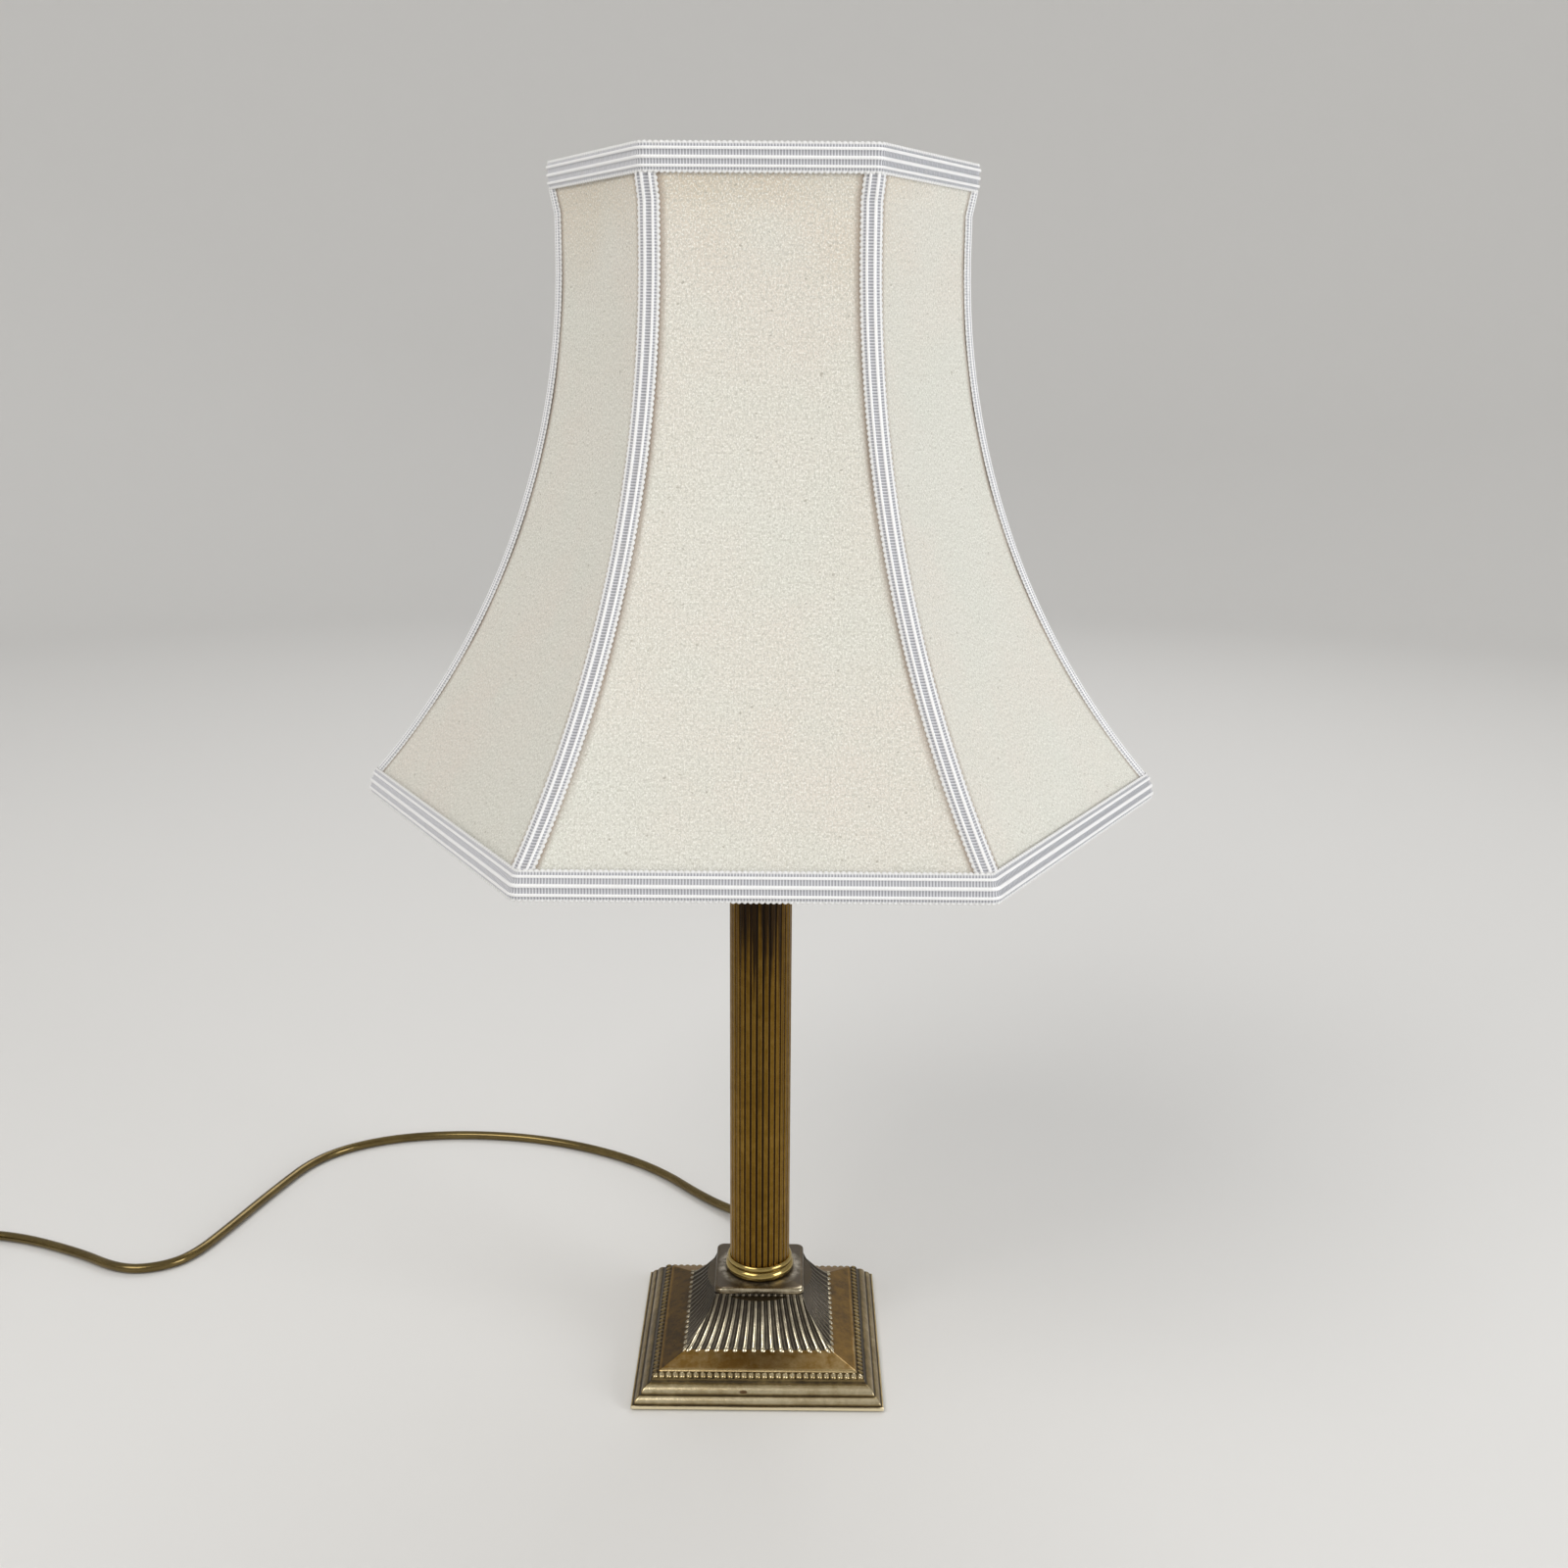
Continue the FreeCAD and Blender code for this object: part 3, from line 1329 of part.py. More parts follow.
def coil_edges():
    """The whole coil: a straight lead, biarcs over quarter turns, and a straight end."""
    turns = [index * 0.25 for index in range(int(COIL_TURNS * 4) + 1)]
    small = 1e-4
    places = [coil_place(turn) for turn in turns]
    ways = []
    for turn in turns:
        way = coil_place(min(turn + small, COIL_TURNS)) - coil_place(max(turn - small, 0.0))
        ways.append(way.normalize())
    ways[0] = Vector(-1, 0, 0)
    ways[-1] = Vector(-1, 0, 0)
    edges = [Part.LineSegment(places[0] - ways[0] * COIL_LEAD, places[0]).toShape()]
    for index in range(len(turns) - 1):
        edges += biarc(places[index], ways[index], places[index + 1], ways[index + 1])
    edges.append(Part.LineSegment(places[-1], places[-1] + ways[-1] * COIL_LEAD).toShape())
    return edges


def least_gap(edges, diameter):
    """Print the smallest distance between the surfaces of stretches that lie side by side."""
    points = []
    run = 0.0
    for edge in edges:
        count = max(int(edge.Length / 1.5), 2)
        for place_ in edge.discretize(count + 1)[:-1]:
            points.append((run, place_))
            run += edge.Length / count
    least = 1e9
    for index, (run_a, a) in enumerate(points):
        for run_b, b in points[index + 1:]:
            if run_b - run_a > diameter * 6:
                least = min(least, (a - b).Length - diameter)
    print("coil: %.2f mm least gap on %d points" % (least, len(points)))


def make_flex():
    radius = CORD_RADIUS.value
    exit_z = Z_EXIT.value
    bend = DIMENSIONS["inner_bend_radius"]
    top = Z_BOWL.value + 3.0
    low = Vector(0, bend, exit_z)
    high = Vector(0, 0, exit_z + bend)
    centre = Vector(0, bend, exit_z + bend)
    middle = centre + Vector(0, -1, -1) * (bend / math.sqrt(2))
    inner = [
        Part.LineSegment(Vector(0, CORD_EXIT_Y, exit_z), low).toShape(),
        Part.Arc(low, middle, high).toShape(),
        Part.LineSegment(high, Vector(0, 0, top)).toShape(),
    ]
    soft_piece("inner_cord", swept_tube(inner, radius))
    soft_piece("power_cord", swept_tube(rounded_route("power cord", CORD_POINTS), radius))
    coil = coil_edges()
    least_gap(coil, 2 * radius)
    soft_piece("cord_coil", swept_tube(coil, radius))
    soft_piece("cord_tail", swept_tube(rounded_route("cord tail", TAIL_POINTS), radius))

    leads = []
    spread = S["terminal_spacing"] / 2
    rise = Z_SHELL - S["terminal_height"] - Z_BOWL - 3.0
    for side, word in ((-1, "front"), (1, "rear")):
        lead = wire("lead_" + word, "YZ_Plane", [
            (as_size(1.4 * side), 0),
            (as_size(1.4 * side), 0.8),
            (spread * side, rise - 1.0),
            (spread * side, rise - 0.1),
        ], S["lead_wire_radius"], Z_BOWL + 3.0)
        SUBPARTS.pop(lead.Label)
        leads.append(lead)
    keep(gathered("lead_wires", leads), "lead_wires")


def make_plug():
    """A flat two-pin plug lying on the table, its pins towards -Y."""
    tip = TAIL_POINTS[-1]
    half = S["plug_width"] / 2
    body = new_body("plug_shell")
    pad = pad_on(body, "plug_pad", "XY_Plane", [
        (-half, 0),
        (-half, -(S["plug_length"] - S["plug_corner_radius"])),
        (-(half - S["plug_corner_radius"]), -S["plug_length"], S["plug_corner_radius"], 1),
        (half - S["plug_corner_radius"], -S["plug_length"]),
        (half, -(S["plug_length"] - S["plug_corner_radius"]), S["plug_corner_radius"], 1),
        (half, 0),
        (S["plug_neck_root_radius"] * 1.1, S["plug_neck_length"] * 0.45),
        (-(S["plug_neck_root_radius"] * 1.1), S["plug_neck_length"] * 0.45),
    ], S["plug_thickness"])
    doc.recompute()
    rounding = body.newObject("PartDesign::Fillet", "plug_edges")
    rounding.Base = (pad, long_edges(pad))
    rounding.setExpression("Radius", S["plug_edge_radius"].text)
    plug_y = as_size(tip[1]) - S["plug_neck_length"]
    place(body, as_size(tip[0]), plug_y, as_size(0))

    neck = new_body("plug_neck")
    sketch = sketch_on(neck, "plug_neck_outline", "XZ_Plane")
    outline(sketch, [
        (0, 0),
        (S["plug_neck_root_radius"], 0),
        (S["plug_neck_tip_radius"], S["plug_neck_length"]),
        (0, S["plug_neck_length"]),
    ])
    turning = neck.newObject("PartDesign::Revolution", "plug_neck_turning")
    turning.Profile = sketch
    turning.ReferenceAxis = (sketch, ["V_Axis"])
    turning.Angle = 360
    neck.Placement = Placement(Vector(), Rotation(Vector(1, 0, 0), -90))
    place(neck, as_size(tip[0]), plug_y, S["plug_thickness"] / 2)
    solid = boolean("Part::Fuse", "plug_solid", body, neck)

    forwards = Rotation(Vector(1, 0, 0), 90)
    pins = []
    sockets = []
    face_y = plug_y - S["plug_length"]
    z = S["plug_thickness"] / 2
    neck_length = S["pin_root"] + S["pin_neck_length"]
    for side, word in ((-1, "left"), (1, "right")):
        x = as_size(tip[0]) + S["pin_spacing"] / 2 * side
        blade = cylinder("pin_blade_" + word, S["pin_radius"], S["pin_length"] - S["pin_neck_length"],
                         x=x, y=face_y - S["pin_neck_length"], z=z, rotation=forwards)
        neck = cylinder("pin_neck_" + word, S["pin_neck_radius"], neck_length,
                        x=x, y=face_y + S["pin_root"], z=z, rotation=forwards)
        pins.append(boolean("Part::Fuse", "pin_" + word, blade, neck))
        sockets.append(cylinder("pin_socket_" + word, S["pin_neck_radius"], neck_length,
                                x=x, y=face_y + S["pin_root"], z=z, rotation=forwards))
    keep(gathered("plug_pins", pins), "plug_pins")
    keep(boolean("Part::Cut", "plug_body", solid, gathered("pin_sockets", sockets)), "plug_body")


def long_edges(pad):
    """The edges around the top and the bottom face of a plain pad."""
    box = pad.Shape.BoundBox
    names = []
    for index, edge in enumerate(pad.Shape.Edges):
        size = edge.BoundBox
        if size.ZMax < box.ZMin + 0.01 or size.ZMin > box.ZMax - 0.01:
            names.append("Edge%d" % (index + 1))
    return names


# ---------------------------------------------------------------- build and write
def write_parts():
    """Check every sub-part and write it as a STEP file."""
    doc.recompute()
    faults = []
    for obj in doc.Objects:
        if "Invalid" in obj.State or "Error" in obj.State:
            faults.append("%s state %s" % (obj.Name, obj.State))
    for label, obj in SUBPARTS.items():
        if obj.Shape.isNull() or not obj.Shape.isValid():
            faults.append(label + " has no valid shape")
    if faults:
        raise RuntimeError("; ".join(faults))
    os.makedirs("parts", exist_ok=True)
    for label, obj in SUBPARTS.items():
        obj.Shape.exportStep("parts/%s.step" % label)
        box = obj.Shape.BoundBox
        print("%-20s %3d solids %10.1f mm3  x %7.1f %7.1f  y %7.1f %7.1f  z %6.1f %6.1f" % (
            label, len(obj.Shape.Solids), obj.Shape.Volume,
            box.XMin, box.XMax, box.YMin, box.YMax, box.ZMin, box.ZMax))
    print("%d sub-parts written" % len(SUBPARTS))


make_base()
make_under_base()
make_bush()
make_rod()
make_column()
make_holder()
make_bulb()
make_frame()
make_panels()
make_lining()
make_seams()
make_bands()
make_flex()
make_plug()
write_parts()
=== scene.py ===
"""Looks of the column table lamp: camera, flex, shade cloth and braid, brass, floor and light."""
import math

import bmesh
import bpy
import numpy as np
from mathutils import Matrix, Vector


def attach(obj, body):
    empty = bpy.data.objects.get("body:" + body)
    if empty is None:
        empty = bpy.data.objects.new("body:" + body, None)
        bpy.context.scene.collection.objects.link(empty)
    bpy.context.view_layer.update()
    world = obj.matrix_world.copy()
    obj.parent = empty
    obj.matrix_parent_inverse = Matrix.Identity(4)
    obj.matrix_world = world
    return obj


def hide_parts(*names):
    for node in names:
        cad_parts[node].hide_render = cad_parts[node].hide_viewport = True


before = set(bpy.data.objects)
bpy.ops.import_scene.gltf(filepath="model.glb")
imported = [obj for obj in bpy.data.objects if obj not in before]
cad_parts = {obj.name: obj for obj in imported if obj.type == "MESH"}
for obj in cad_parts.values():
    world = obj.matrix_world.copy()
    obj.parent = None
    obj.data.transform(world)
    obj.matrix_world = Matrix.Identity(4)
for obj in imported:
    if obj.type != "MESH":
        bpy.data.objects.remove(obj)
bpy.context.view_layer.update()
TAU = 2 * math.pi
MM = 0.001


def put(name, data):
    """A new object in the scene."""
    made = bpy.data.objects.new(name, data)
    bpy.context.scene.collection.objects.link(made)
    return made


# ---- camera
SENSOR_WIDTH, FOCAL_PIXELS, PHOTO_PIXELS = 36.0, 1714.0, 1600.0
CAMERA_PLACE = (0.0131, -0.8177, 0.5296)
CAMERA_TURNS = (0.12, -14.62, -0.4)


def make_camera():
    """The photograph's view: lens, place and aim from a fit to the lamp's edges."""
    yaw, pitch, roll = (math.radians(v) for v in CAMERA_TURNS)
    data = bpy.data.cameras.new("camera")
    data.sensor_width = SENSOR_WIDTH
    data.lens = SENSOR_WIDTH * FOCAL_PIXELS / PHOTO_PIXELS
    camera = put("camera", data)
    aim = Matrix.Rotation(yaw, 4, "Z") @ Matrix.Rotation(pitch, 4, "X")
    aim = aim @ Matrix.Rotation(roll, 4, "Y") @ Matrix.Rotation(math.radians(90), 4, "X")
    camera.matrix_world = Matrix.Translation(CAMERA_PLACE) @ aim
    bpy.context.scene.camera = camera


make_camera()


# ---- shader maths
def maths(operation, turned=False):
    """A method that adds one maths node; turned swaps its two inputs."""
    def method(self, other=0.0):
        pair = (other, self) if turned else (self, other)
        return self.paint.math(operation, *pair)
    return method


class Value:
    """A number or colour inside a material; arithmetic on it adds maths nodes."""
    __add__, __radd__ = maths("ADD"), maths("ADD", turned=True)
    __sub__, __rsub__ = maths("SUBTRACT"), maths("SUBTRACT", turned=True)
    __mul__, __truediv__, __pow__ = maths("MULTIPLY"), maths("DIVIDE"), maths("POWER")
    sine, size, fraction = maths("SINE"), maths("ABSOLUTE"), maths("FRACT")

    def __init__(self, paint, socket):
        self.paint = paint
        self.socket = socket

    def step(self, low, high):
        """0 below low, 1 above high, and a straight ramp between; low may be above high."""
        made = self.paint.node("ShaderNodeMapRange",
                               {"Value": self, "From Min": low, "From Max": high})
        return Value(self.paint, made.outputs["Result"])


class Paint:
    """One node material around one Principled shader."""

    def __init__(self, name, **fixed):
        self.material = bpy.data.materials.new(name)
        self.material.use_nodes = True
        self.tree = self.material.node_tree
        self.tree.nodes.clear()
        self.shader = self.node("ShaderNodeBsdfPrincipled")
        out = self.node("ShaderNodeOutputMaterial")
        self.tree.links.new(self.shader.outputs[0], out.inputs["Surface"])
        for word, value in fixed.items():
            self.shader.inputs[word.replace("_", " ")].default_value = value

    def node(self, kind, sockets=None, **settings):
        made = self.tree.nodes.new(kind)
        for word, value in settings.items():
            setattr(made, word, value)
        for word, value in (sockets or {}).items():
            self.feed(made.inputs[word], value)
        return made

    def feed(self, socket, value):
        if isinstance(value, Value):
            self.tree.links.new(value.socket, socket)
        else:
            socket.default_value = value

    def math(self, operation, first, second=0.0):
        made = self.node("ShaderNodeMath", {0: first, 1: second}, operation=operation)
        return Value(self, made.outputs[0])

    def place(self):
        """Object coordinates, in metres."""
        return Value(self, self.node("ShaderNodeTexCoord").outputs["Object"])

    def uv(self):
        """The mesh's own UV, in metres along the surface."""
        return Value(self, self.node("ShaderNodeUVMap", uv_map="flat").outputs[0])

    def split(self, vector):
        """The three numbers of a vector."""
        made = self.node("ShaderNodeSeparateXYZ", {0: vector})
        return [Value(self, out) for out in made.outputs]

    def own(self, word):
        """A number stored on the mesh's points."""
        made = self.node("ShaderNodeAttribute", attribute_name=word, attribute_type="GEOMETRY")
        return Value(self, made.outputs["Fac"])

    def noise(self, vector, scale, detail=3.0, rough=0.5):
        made = self.node("ShaderNodeTexNoise",
                         {"Vector": vector, "Scale": scale, "Detail": detail, "Roughness": rough})
        return Value(self, made.outputs[0])

    def drawn(self, vector, scales, detail, rough=0.5, turn=0.0):
        """Noise scaled apart in its three directions and turned about the third."""
        sockets = {"Vector": vector, "Rotation": (0.0, 0.0, turn), "Scale": scales}
        mapped = Value(self, self.node("ShaderNodeMapping", sockets).outputs[0])
        return self.noise(mapped, 1.0, detail, rough)

    def cells(self, vector, scale):
        """Distance from the nearest of many scattered points."""
        made = self.node("ShaderNodeTexVoronoi", {"Vector": vector, "Scale": scale})
        return Value(self, made.outputs["Distance"])

    def mix(self, share, first, second):
        """Colour first where share is 0, and second where it is 1."""
        made = self.node("ShaderNodeMix", data_type="RGBA")
        self.feed(made.inputs[0], share)
        for socket, colour in ((made.inputs[6], first), (made.inputs[7], second)):
            self.feed(socket, colour if isinstance(colour, Value) else (*colour, 1.0))
        return Value(self, made.outputs[2])

    def bump(self, height, distance, strength):
        sockets = {"Height": height, "Distance": distance, "Strength": strength}
        return Value(self, self.node("ShaderNodeBump", sockets).outputs[0])

    def finish(self, **varying):
        """Feed the shader's sockets that change over the surface, and return the material."""
        for word, value in varying.items():
            value = (*value, 1.0) if isinstance(value, tuple) else value
            self.feed(self.shader.inputs[word.replace("_", " ")], value)
        return self.material


# ---- mesh helpers
def grid_piece(name, points, material, body, uv=None, numbers=None,
               ring=False, tube=False, flip=False):
    """A surface through a rows x columns grid of points, in metres.

    ring closes the rows on themselves, tube closes the columns, and flip turns the faces over.
    uv and numbers are stored on the mesh for its material.
    """
    rows, cols = points.shape[:2]
    row_a = np.arange(rows if ring else rows - 1)
    col_a = np.arange(cols if tube else cols - 1)
    a, b = np.meshgrid(row_a, col_a, indexing="ij")
    a, b = a.ravel(), b.ravel()
    c, d = (a + 1) % rows, (b + 1) % cols
    corners = np.stack([a * cols + b, a * cols + d, c * cols + d, c * cols + b], axis=1)
    if flip:
        corners = corners[:, ::-1]
    mesh = bpy.data.meshes.new(name)
    mesh.vertices.add(rows * cols)
    mesh.vertices.foreach_set("co", points.reshape(-1).astype(np.float32))
    mesh.loops.add(corners.size)
    mesh.loops.foreach_set("vertex_index", corners.reshape(-1).astype(np.int32))
    mesh.polygons.add(len(corners))
    mesh.polygons.foreach_set("loop_start", np.arange(0, corners.size, 4, dtype=np.int32))
    mesh.polygons.foreach_set("use_smooth", np.ones(len(corners), bool))
    mesh.update(calc_edges=True)
    if uv is not None:
        full = uv[np.minimum(np.stack([a, a, a + 1, a + 1], 1), uv.shape[0] - 1),
                  np.minimum(np.stack([b, b + 1, b + 1, b], 1), uv.shape[1] - 1)]
        if flip:
            full = full[:, ::-1]
        layer = mesh.uv_layers.new(name="flat")
        layer.data.foreach_set("uv", full.reshape(-1).astype(np.float32))
    for word, values in (numbers or {}).items():
        attribute = mesh.attributes.new(word, "FLOAT", "POINT")
        attribute.data.foreach_set("value", values.reshape(-1).astype(np.float32))
    mesh.validate()
    mesh.materials.append(material)
    made = put(name, mesh)
    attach(made, body)
    return made


def along(points):
    """Distance travelled along a line of points, from its start."""
    steps = np.linalg.norm(np.diff(points, axis=0), axis=1)
    return np.concatenate([[0.0], np.cumsum(steps)])


def unit_slope(line):
    """Direction of a flat line at each of its points."""
    slope = np.gradient(line, axis=0)
    return slope / np.linalg.norm(slope, axis=1)[:, None]


def places_at(wanted, run, points):
    """Places at the wanted distances on a flat line whose points lie at the distances run."""
    return np.stack([np.interp(wanted, run, points[:, k]) for k in (0, 1)], axis=1)


def spaced(points, step):
    """The same line with its points evenly spaced, about a step apart."""
    points = np.asarray(points, float)
    run = along(points)
    count = max(int(round(run[-1] / step)), 1) + 1
    return places_at(np.linspace(0, run[-1], count), run, points)


def rounded(points, radius, steps=5):
    """A profile with each inner corner turned on a small arc (a quadratic curve)."""
    points = np.asarray(points, float)
    most = 0.45  # of the shorter side
    made = [points[0]]
    for before, corner, after in zip(points[:-2], points[1:-1], points[2:]):
        back, on = before - corner, after - corner
        reach = min(radius, np.linalg.norm(back) * most, np.linalg.norm(on) * most)
        first = corner + back / np.linalg.norm(back) * reach
        last = corner + on / np.linalg.norm(on) * reach
        for t in np.linspace(0, 1, steps):
            made.append((1 - t) ** 2 * first + 2 * t * (1 - t) * corner + t ** 2 * last)
    made.append(points[-1])
    return np.array(made)


def arc_points(start, end, radius, turn, steps):
    """Points after start on the arc to end; turn 1 bends left and -1 right."""
    start, end = np.array(start, float), np.array(end, float)
    chord = end - start
    length = np.linalg.norm(chord)
    left = np.array([-chord[1], chord[0]]) / length
    centre = (start + end) / 2 + left * turn * math.sqrt(radius ** 2 - length ** 2 / 4)
    first, last = start - centre, end - centre
    a0 = math.atan2(first[1], first[0])
    sweep = (math.atan2(last[1], last[0]) - a0 + math.pi) % TAU - math.pi
    angles = a0 + sweep * np.linspace(0, 1, steps + 1)[1:]
    return [centre + radius * np.array([math.cos(v), math.sin(v)]) for v in angles]


def ball(x, y, wide, long):
    """Height of a half ellipsoid of height 1 over a flat, this wide and long, at its own origin."""
    return np.sqrt(np.clip(1 - (x / wide) ** 2 - (y / long) ** 2, 0, None))


def ring_rows(radii, heights, segments):
    """A grid of points turned about the lamp's axis."""
    angles = np.arange(segments) / segments * TAU
    z = np.outer(heights, np.ones(segments))
    return np.stack([np.outer(radii, np.cos(angles)), np.outer(radii, np.sin(angles)), z], axis=2)


# ---- flex
FLEX_WIDTH, FLEX_LENGTH = 5.6, 1.8
# the middle of the flex from base to coil and from coil to plug, in millimetres
FLEX_POINTS = [
    (0, 88, 7.6), (0, 106, 7.6), (-10, 127, 4.8), (-37, 152, 2.8), (-70, 191, 2.8),
    (-113, 219, 2.8), (-162, 236, 2.8), (-216, 240, 2.8), (-264, 230, 2.8), (-299, 204, 2.8),
    (-315, 157, 2.8), (-328, 112, 2.8), (-339, 78, 2.8), (-354, 65, 2.8), (-376, 62, 2.8),
    (-410, 82, 2.8), (-459, 101, 2.8), (-504, 101, 2.8),
]
TAIL_POINTS = [
    (-516, 101, 9.0), (-540, 101, 9.0), (-568, 88, 6.8), (-582, 62, 6.8), (-582, 40, 6.8),
]
COIL_CENTRE = (-510.0, 61.0)
COIL_RADIUS, COIL_PITCH = 40.0, 6.35
COIL_TURNS, COIL_CLIMB, COIL_RISE = 5.0, 2.25, 6.2


def coil_points(per_turn=16):
    """Control points of the put-away coil: in on the lower layer, then out on the upper one."""
    made = []
    for index in range(1, int(COIL_TURNS * per_turn)):
        turn = index / per_turn
        inward = min(turn, COIL_TURNS - turn)
        blend = max(inward - COIL_CLIMB, 0.0)
        climb = COIL_TURNS / 2 - COIL_CLIMB
        radius = COIL_RADIUS - COIL_PITCH * (inward - blend ** 2 / (2 * climb))
        radius /= 1 - (math.pi / per_turn) ** 2 * 0.5
        share = min(max((turn - COIL_CLIMB) / (2 * climb), 0.0), 1.0)
        height = FLEX_WIDTH / 2 + COIL_RISE * share ** 2 * (3 - 2 * share)
        angle = math.pi / 2 + TAU * turn
        made.append((COIL_CENTRE[0] + radius * math.cos(angle),
                     COIL_CENTRE[1] + radius * math.sin(angle), height))
    return made


def make_flex(material):
    """The flex from the base to the coil, round it, and on to the plug."""
    data = bpy.data.curves.new("flex", "CURVE")
    data.dimensions = "3D"
    data.resolution_u = 12
    data.bevel_depth = FLEX_WIDTH / 2 * MM
    data.bevel_resolution = 6
    data.use_fill_caps = True
    spline = data.splines.new("NURBS")
    points = FLEX_POINTS + coil_points() + TAIL_POINTS
    spline.points.add(len(points) - 1)
    for point, place in zip(spline.points, points):
        point.co = (place[0] * MM, place[1] * MM, place[2] * MM, 1.0)
    spline.order_u = 3
    spline.use_endpoint_u = True
    data.materials.append(material)
    flex = put("flex", data)
    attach(flex, "lamp")
    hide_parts("power_cord", "cord_coil", "cord_tail")


def flex_material():
    """Gold-coloured smooth sheath, lightly scuffed."""
    paint = Paint("flex_sheath", Metallic=0.9, Specular_IOR_Level=0.5,
                  Coat_Weight=0.35, Coat_Roughness=0.08)
    where = paint.place()
    tone = paint.noise(where, 60.0, 4.0, 0.6)
    scuff = paint.noise(where, 900.0, 2.0)
    colour = paint.mix(tone.step(0.3, 0.7), (0.115, 0.078, 0.022), (0.18, 0.128, 0.04))
    colour = paint.mix(scuff.step(0.62, 0.75) * 0.35, colour, (0.09, 0.062, 0.022))
    rough = paint.noise(where, 250.0).step(0.2, 0.8) * 0.1 + 0.15
    return paint.finish(Base_Color=colour, Roughness=rough,
                        Normal=paint.bump(paint.noise(where, 350.0), 0.0002, 0.5))


# ---- shade
SIDES = 6
TAN30 = math.tan(math.radians(30))
COS30 = math.cos(math.radians(30))
# the cloth's outline in millimetres: distances from the axis to a flat, then heights
HEM_HALF, WAIST_HALF, TOP_FLARE, SWEEP_RADIUS = 169.3, 83.2, 1.8, 415.0
CLOTH_LOW, HEM_TOP, SWEEP_LOW, SWEEP_HIGH = 311.5, 316.0, 323.0, 572.0
WAIST_TOP, FLARE_TOP, CLOTH_HIGH = 588.0, 598.0, 609.5
# how far the cloth is drawn in, over which heights, and its drag marks
DRAWN_IN, DRAWN_LOW, DRAWN_RUN = 1.7, 318.0, 285.0
DRAG_HEIGHT, DRAG_REACH, DRAG_PITCH = 0.16, 16.0, 7.3
DRAG_WANDER, WANDER_PITCH = 2.2, 41.0
# SEAM_SHADE is the width of a painted shade line on the cloth beside the braid.
SEAM_COVER, SEAM_SHADE = 6.3, 2.4  # half the braid's cover, and the darker line beside it


def side_line(step, offset=0.0, low=CLOTH_LOW, high=CLOTH_HIGH):
    """Flat-to-centre size and height up the shade's side, this far outside the cloth's face."""
    radius, rise = SWEEP_RADIUS - offset, SWEEP_HIGH - SWEEP_LOW
    foot = WAIST_HALF + SWEEP_RADIUS - math.sqrt(radius ** 2 - rise ** 2)
    hem, waist = HEM_HALF + offset, WAIST_HALF + offset
    top = waist + TOP_FLARE
    points = [(hem, low), (hem, HEM_TOP), (foot, SWEEP_LOW)]
    points += arc_points(points[-1], (waist, SWEEP_HIGH), radius, -1, 60)
    points += [(waist, WAIST_TOP), (top, FLARE_TOP), (top, high)]
    return spaced(points, step)


def side_frame(number):
    """Outward and sideways directions of a shade face; face 0 looks to the front."""
    angle = math.radians(-90 + 60 * number)
    c, s = math.cos(angle), math.sin(angle)
    return np.array([c, s, 0.0]), np.array([-s, c, 0.0])


def panel_points(number, across=48):
    """Stretched cloth: flat across each height but drawn in between the struts.

    t runs across the face from -1 to 1, and the cloth is drawn in by up to DRAWN_IN (1 - t^2).
    Faint drags run in from the seams, as on cloth stretched over two bent wires.
    """
    outward, sideways = side_frame(number)
    line = side_line(2.4)
    run = along(line)
    t = np.sin(np.linspace(-1, 1, across + 1) * math.pi / 2)
    half, height, far = line[:, 0, None], line[:, 1, None], run[:, None]
    swell = np.sin(np.clip((height - DRAWN_LOW) / DRAWN_RUN, 0, 1) * math.pi) ** 0.7
    drawn = DRAWN_IN * (1 - t ** 2) * swell
    edge = np.exp((np.abs(t) - 1) * half * TAN30 / DRAG_REACH)
    wander = DRAG_WANDER * np.sin(far / WANDER_PITCH + number)
    drag = DRAG_HEIGHT * edge * np.sin(far / DRAG_PITCH + number * 1.7 + wander)
    inside = half - drawn + drag * swell
    slide = half * TAN30 * t
    points = inside[..., None] * outward + slide[..., None] * sideways
    points[..., 2] = height
    uv = np.stack([slide * MM, np.repeat(far * MM, across + 1, 1)], 2)
    return points * MM, uv, line, run


def make_panels(material):
    """The six cloths; the number side, 1 where the braid begins and 0 away from it, places a
    painted shade line on the cloth beside the braid.
    """
    for number in range(SIDES):
        points, uv, line, run = panel_points(number)
        clear = line[:, 0, None] * TAN30 - np.abs(uv[..., 0]) / MM - SEAM_COVER / COS30
        side = np.clip(1 - clear / SEAM_SHADE, 0, 1)
        panel = grid_piece("shade_cloth_%d" % (number + 1), points, material, "shade", uv,
                           {"side": side})
        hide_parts("shade_panel_%d" % (number + 1))


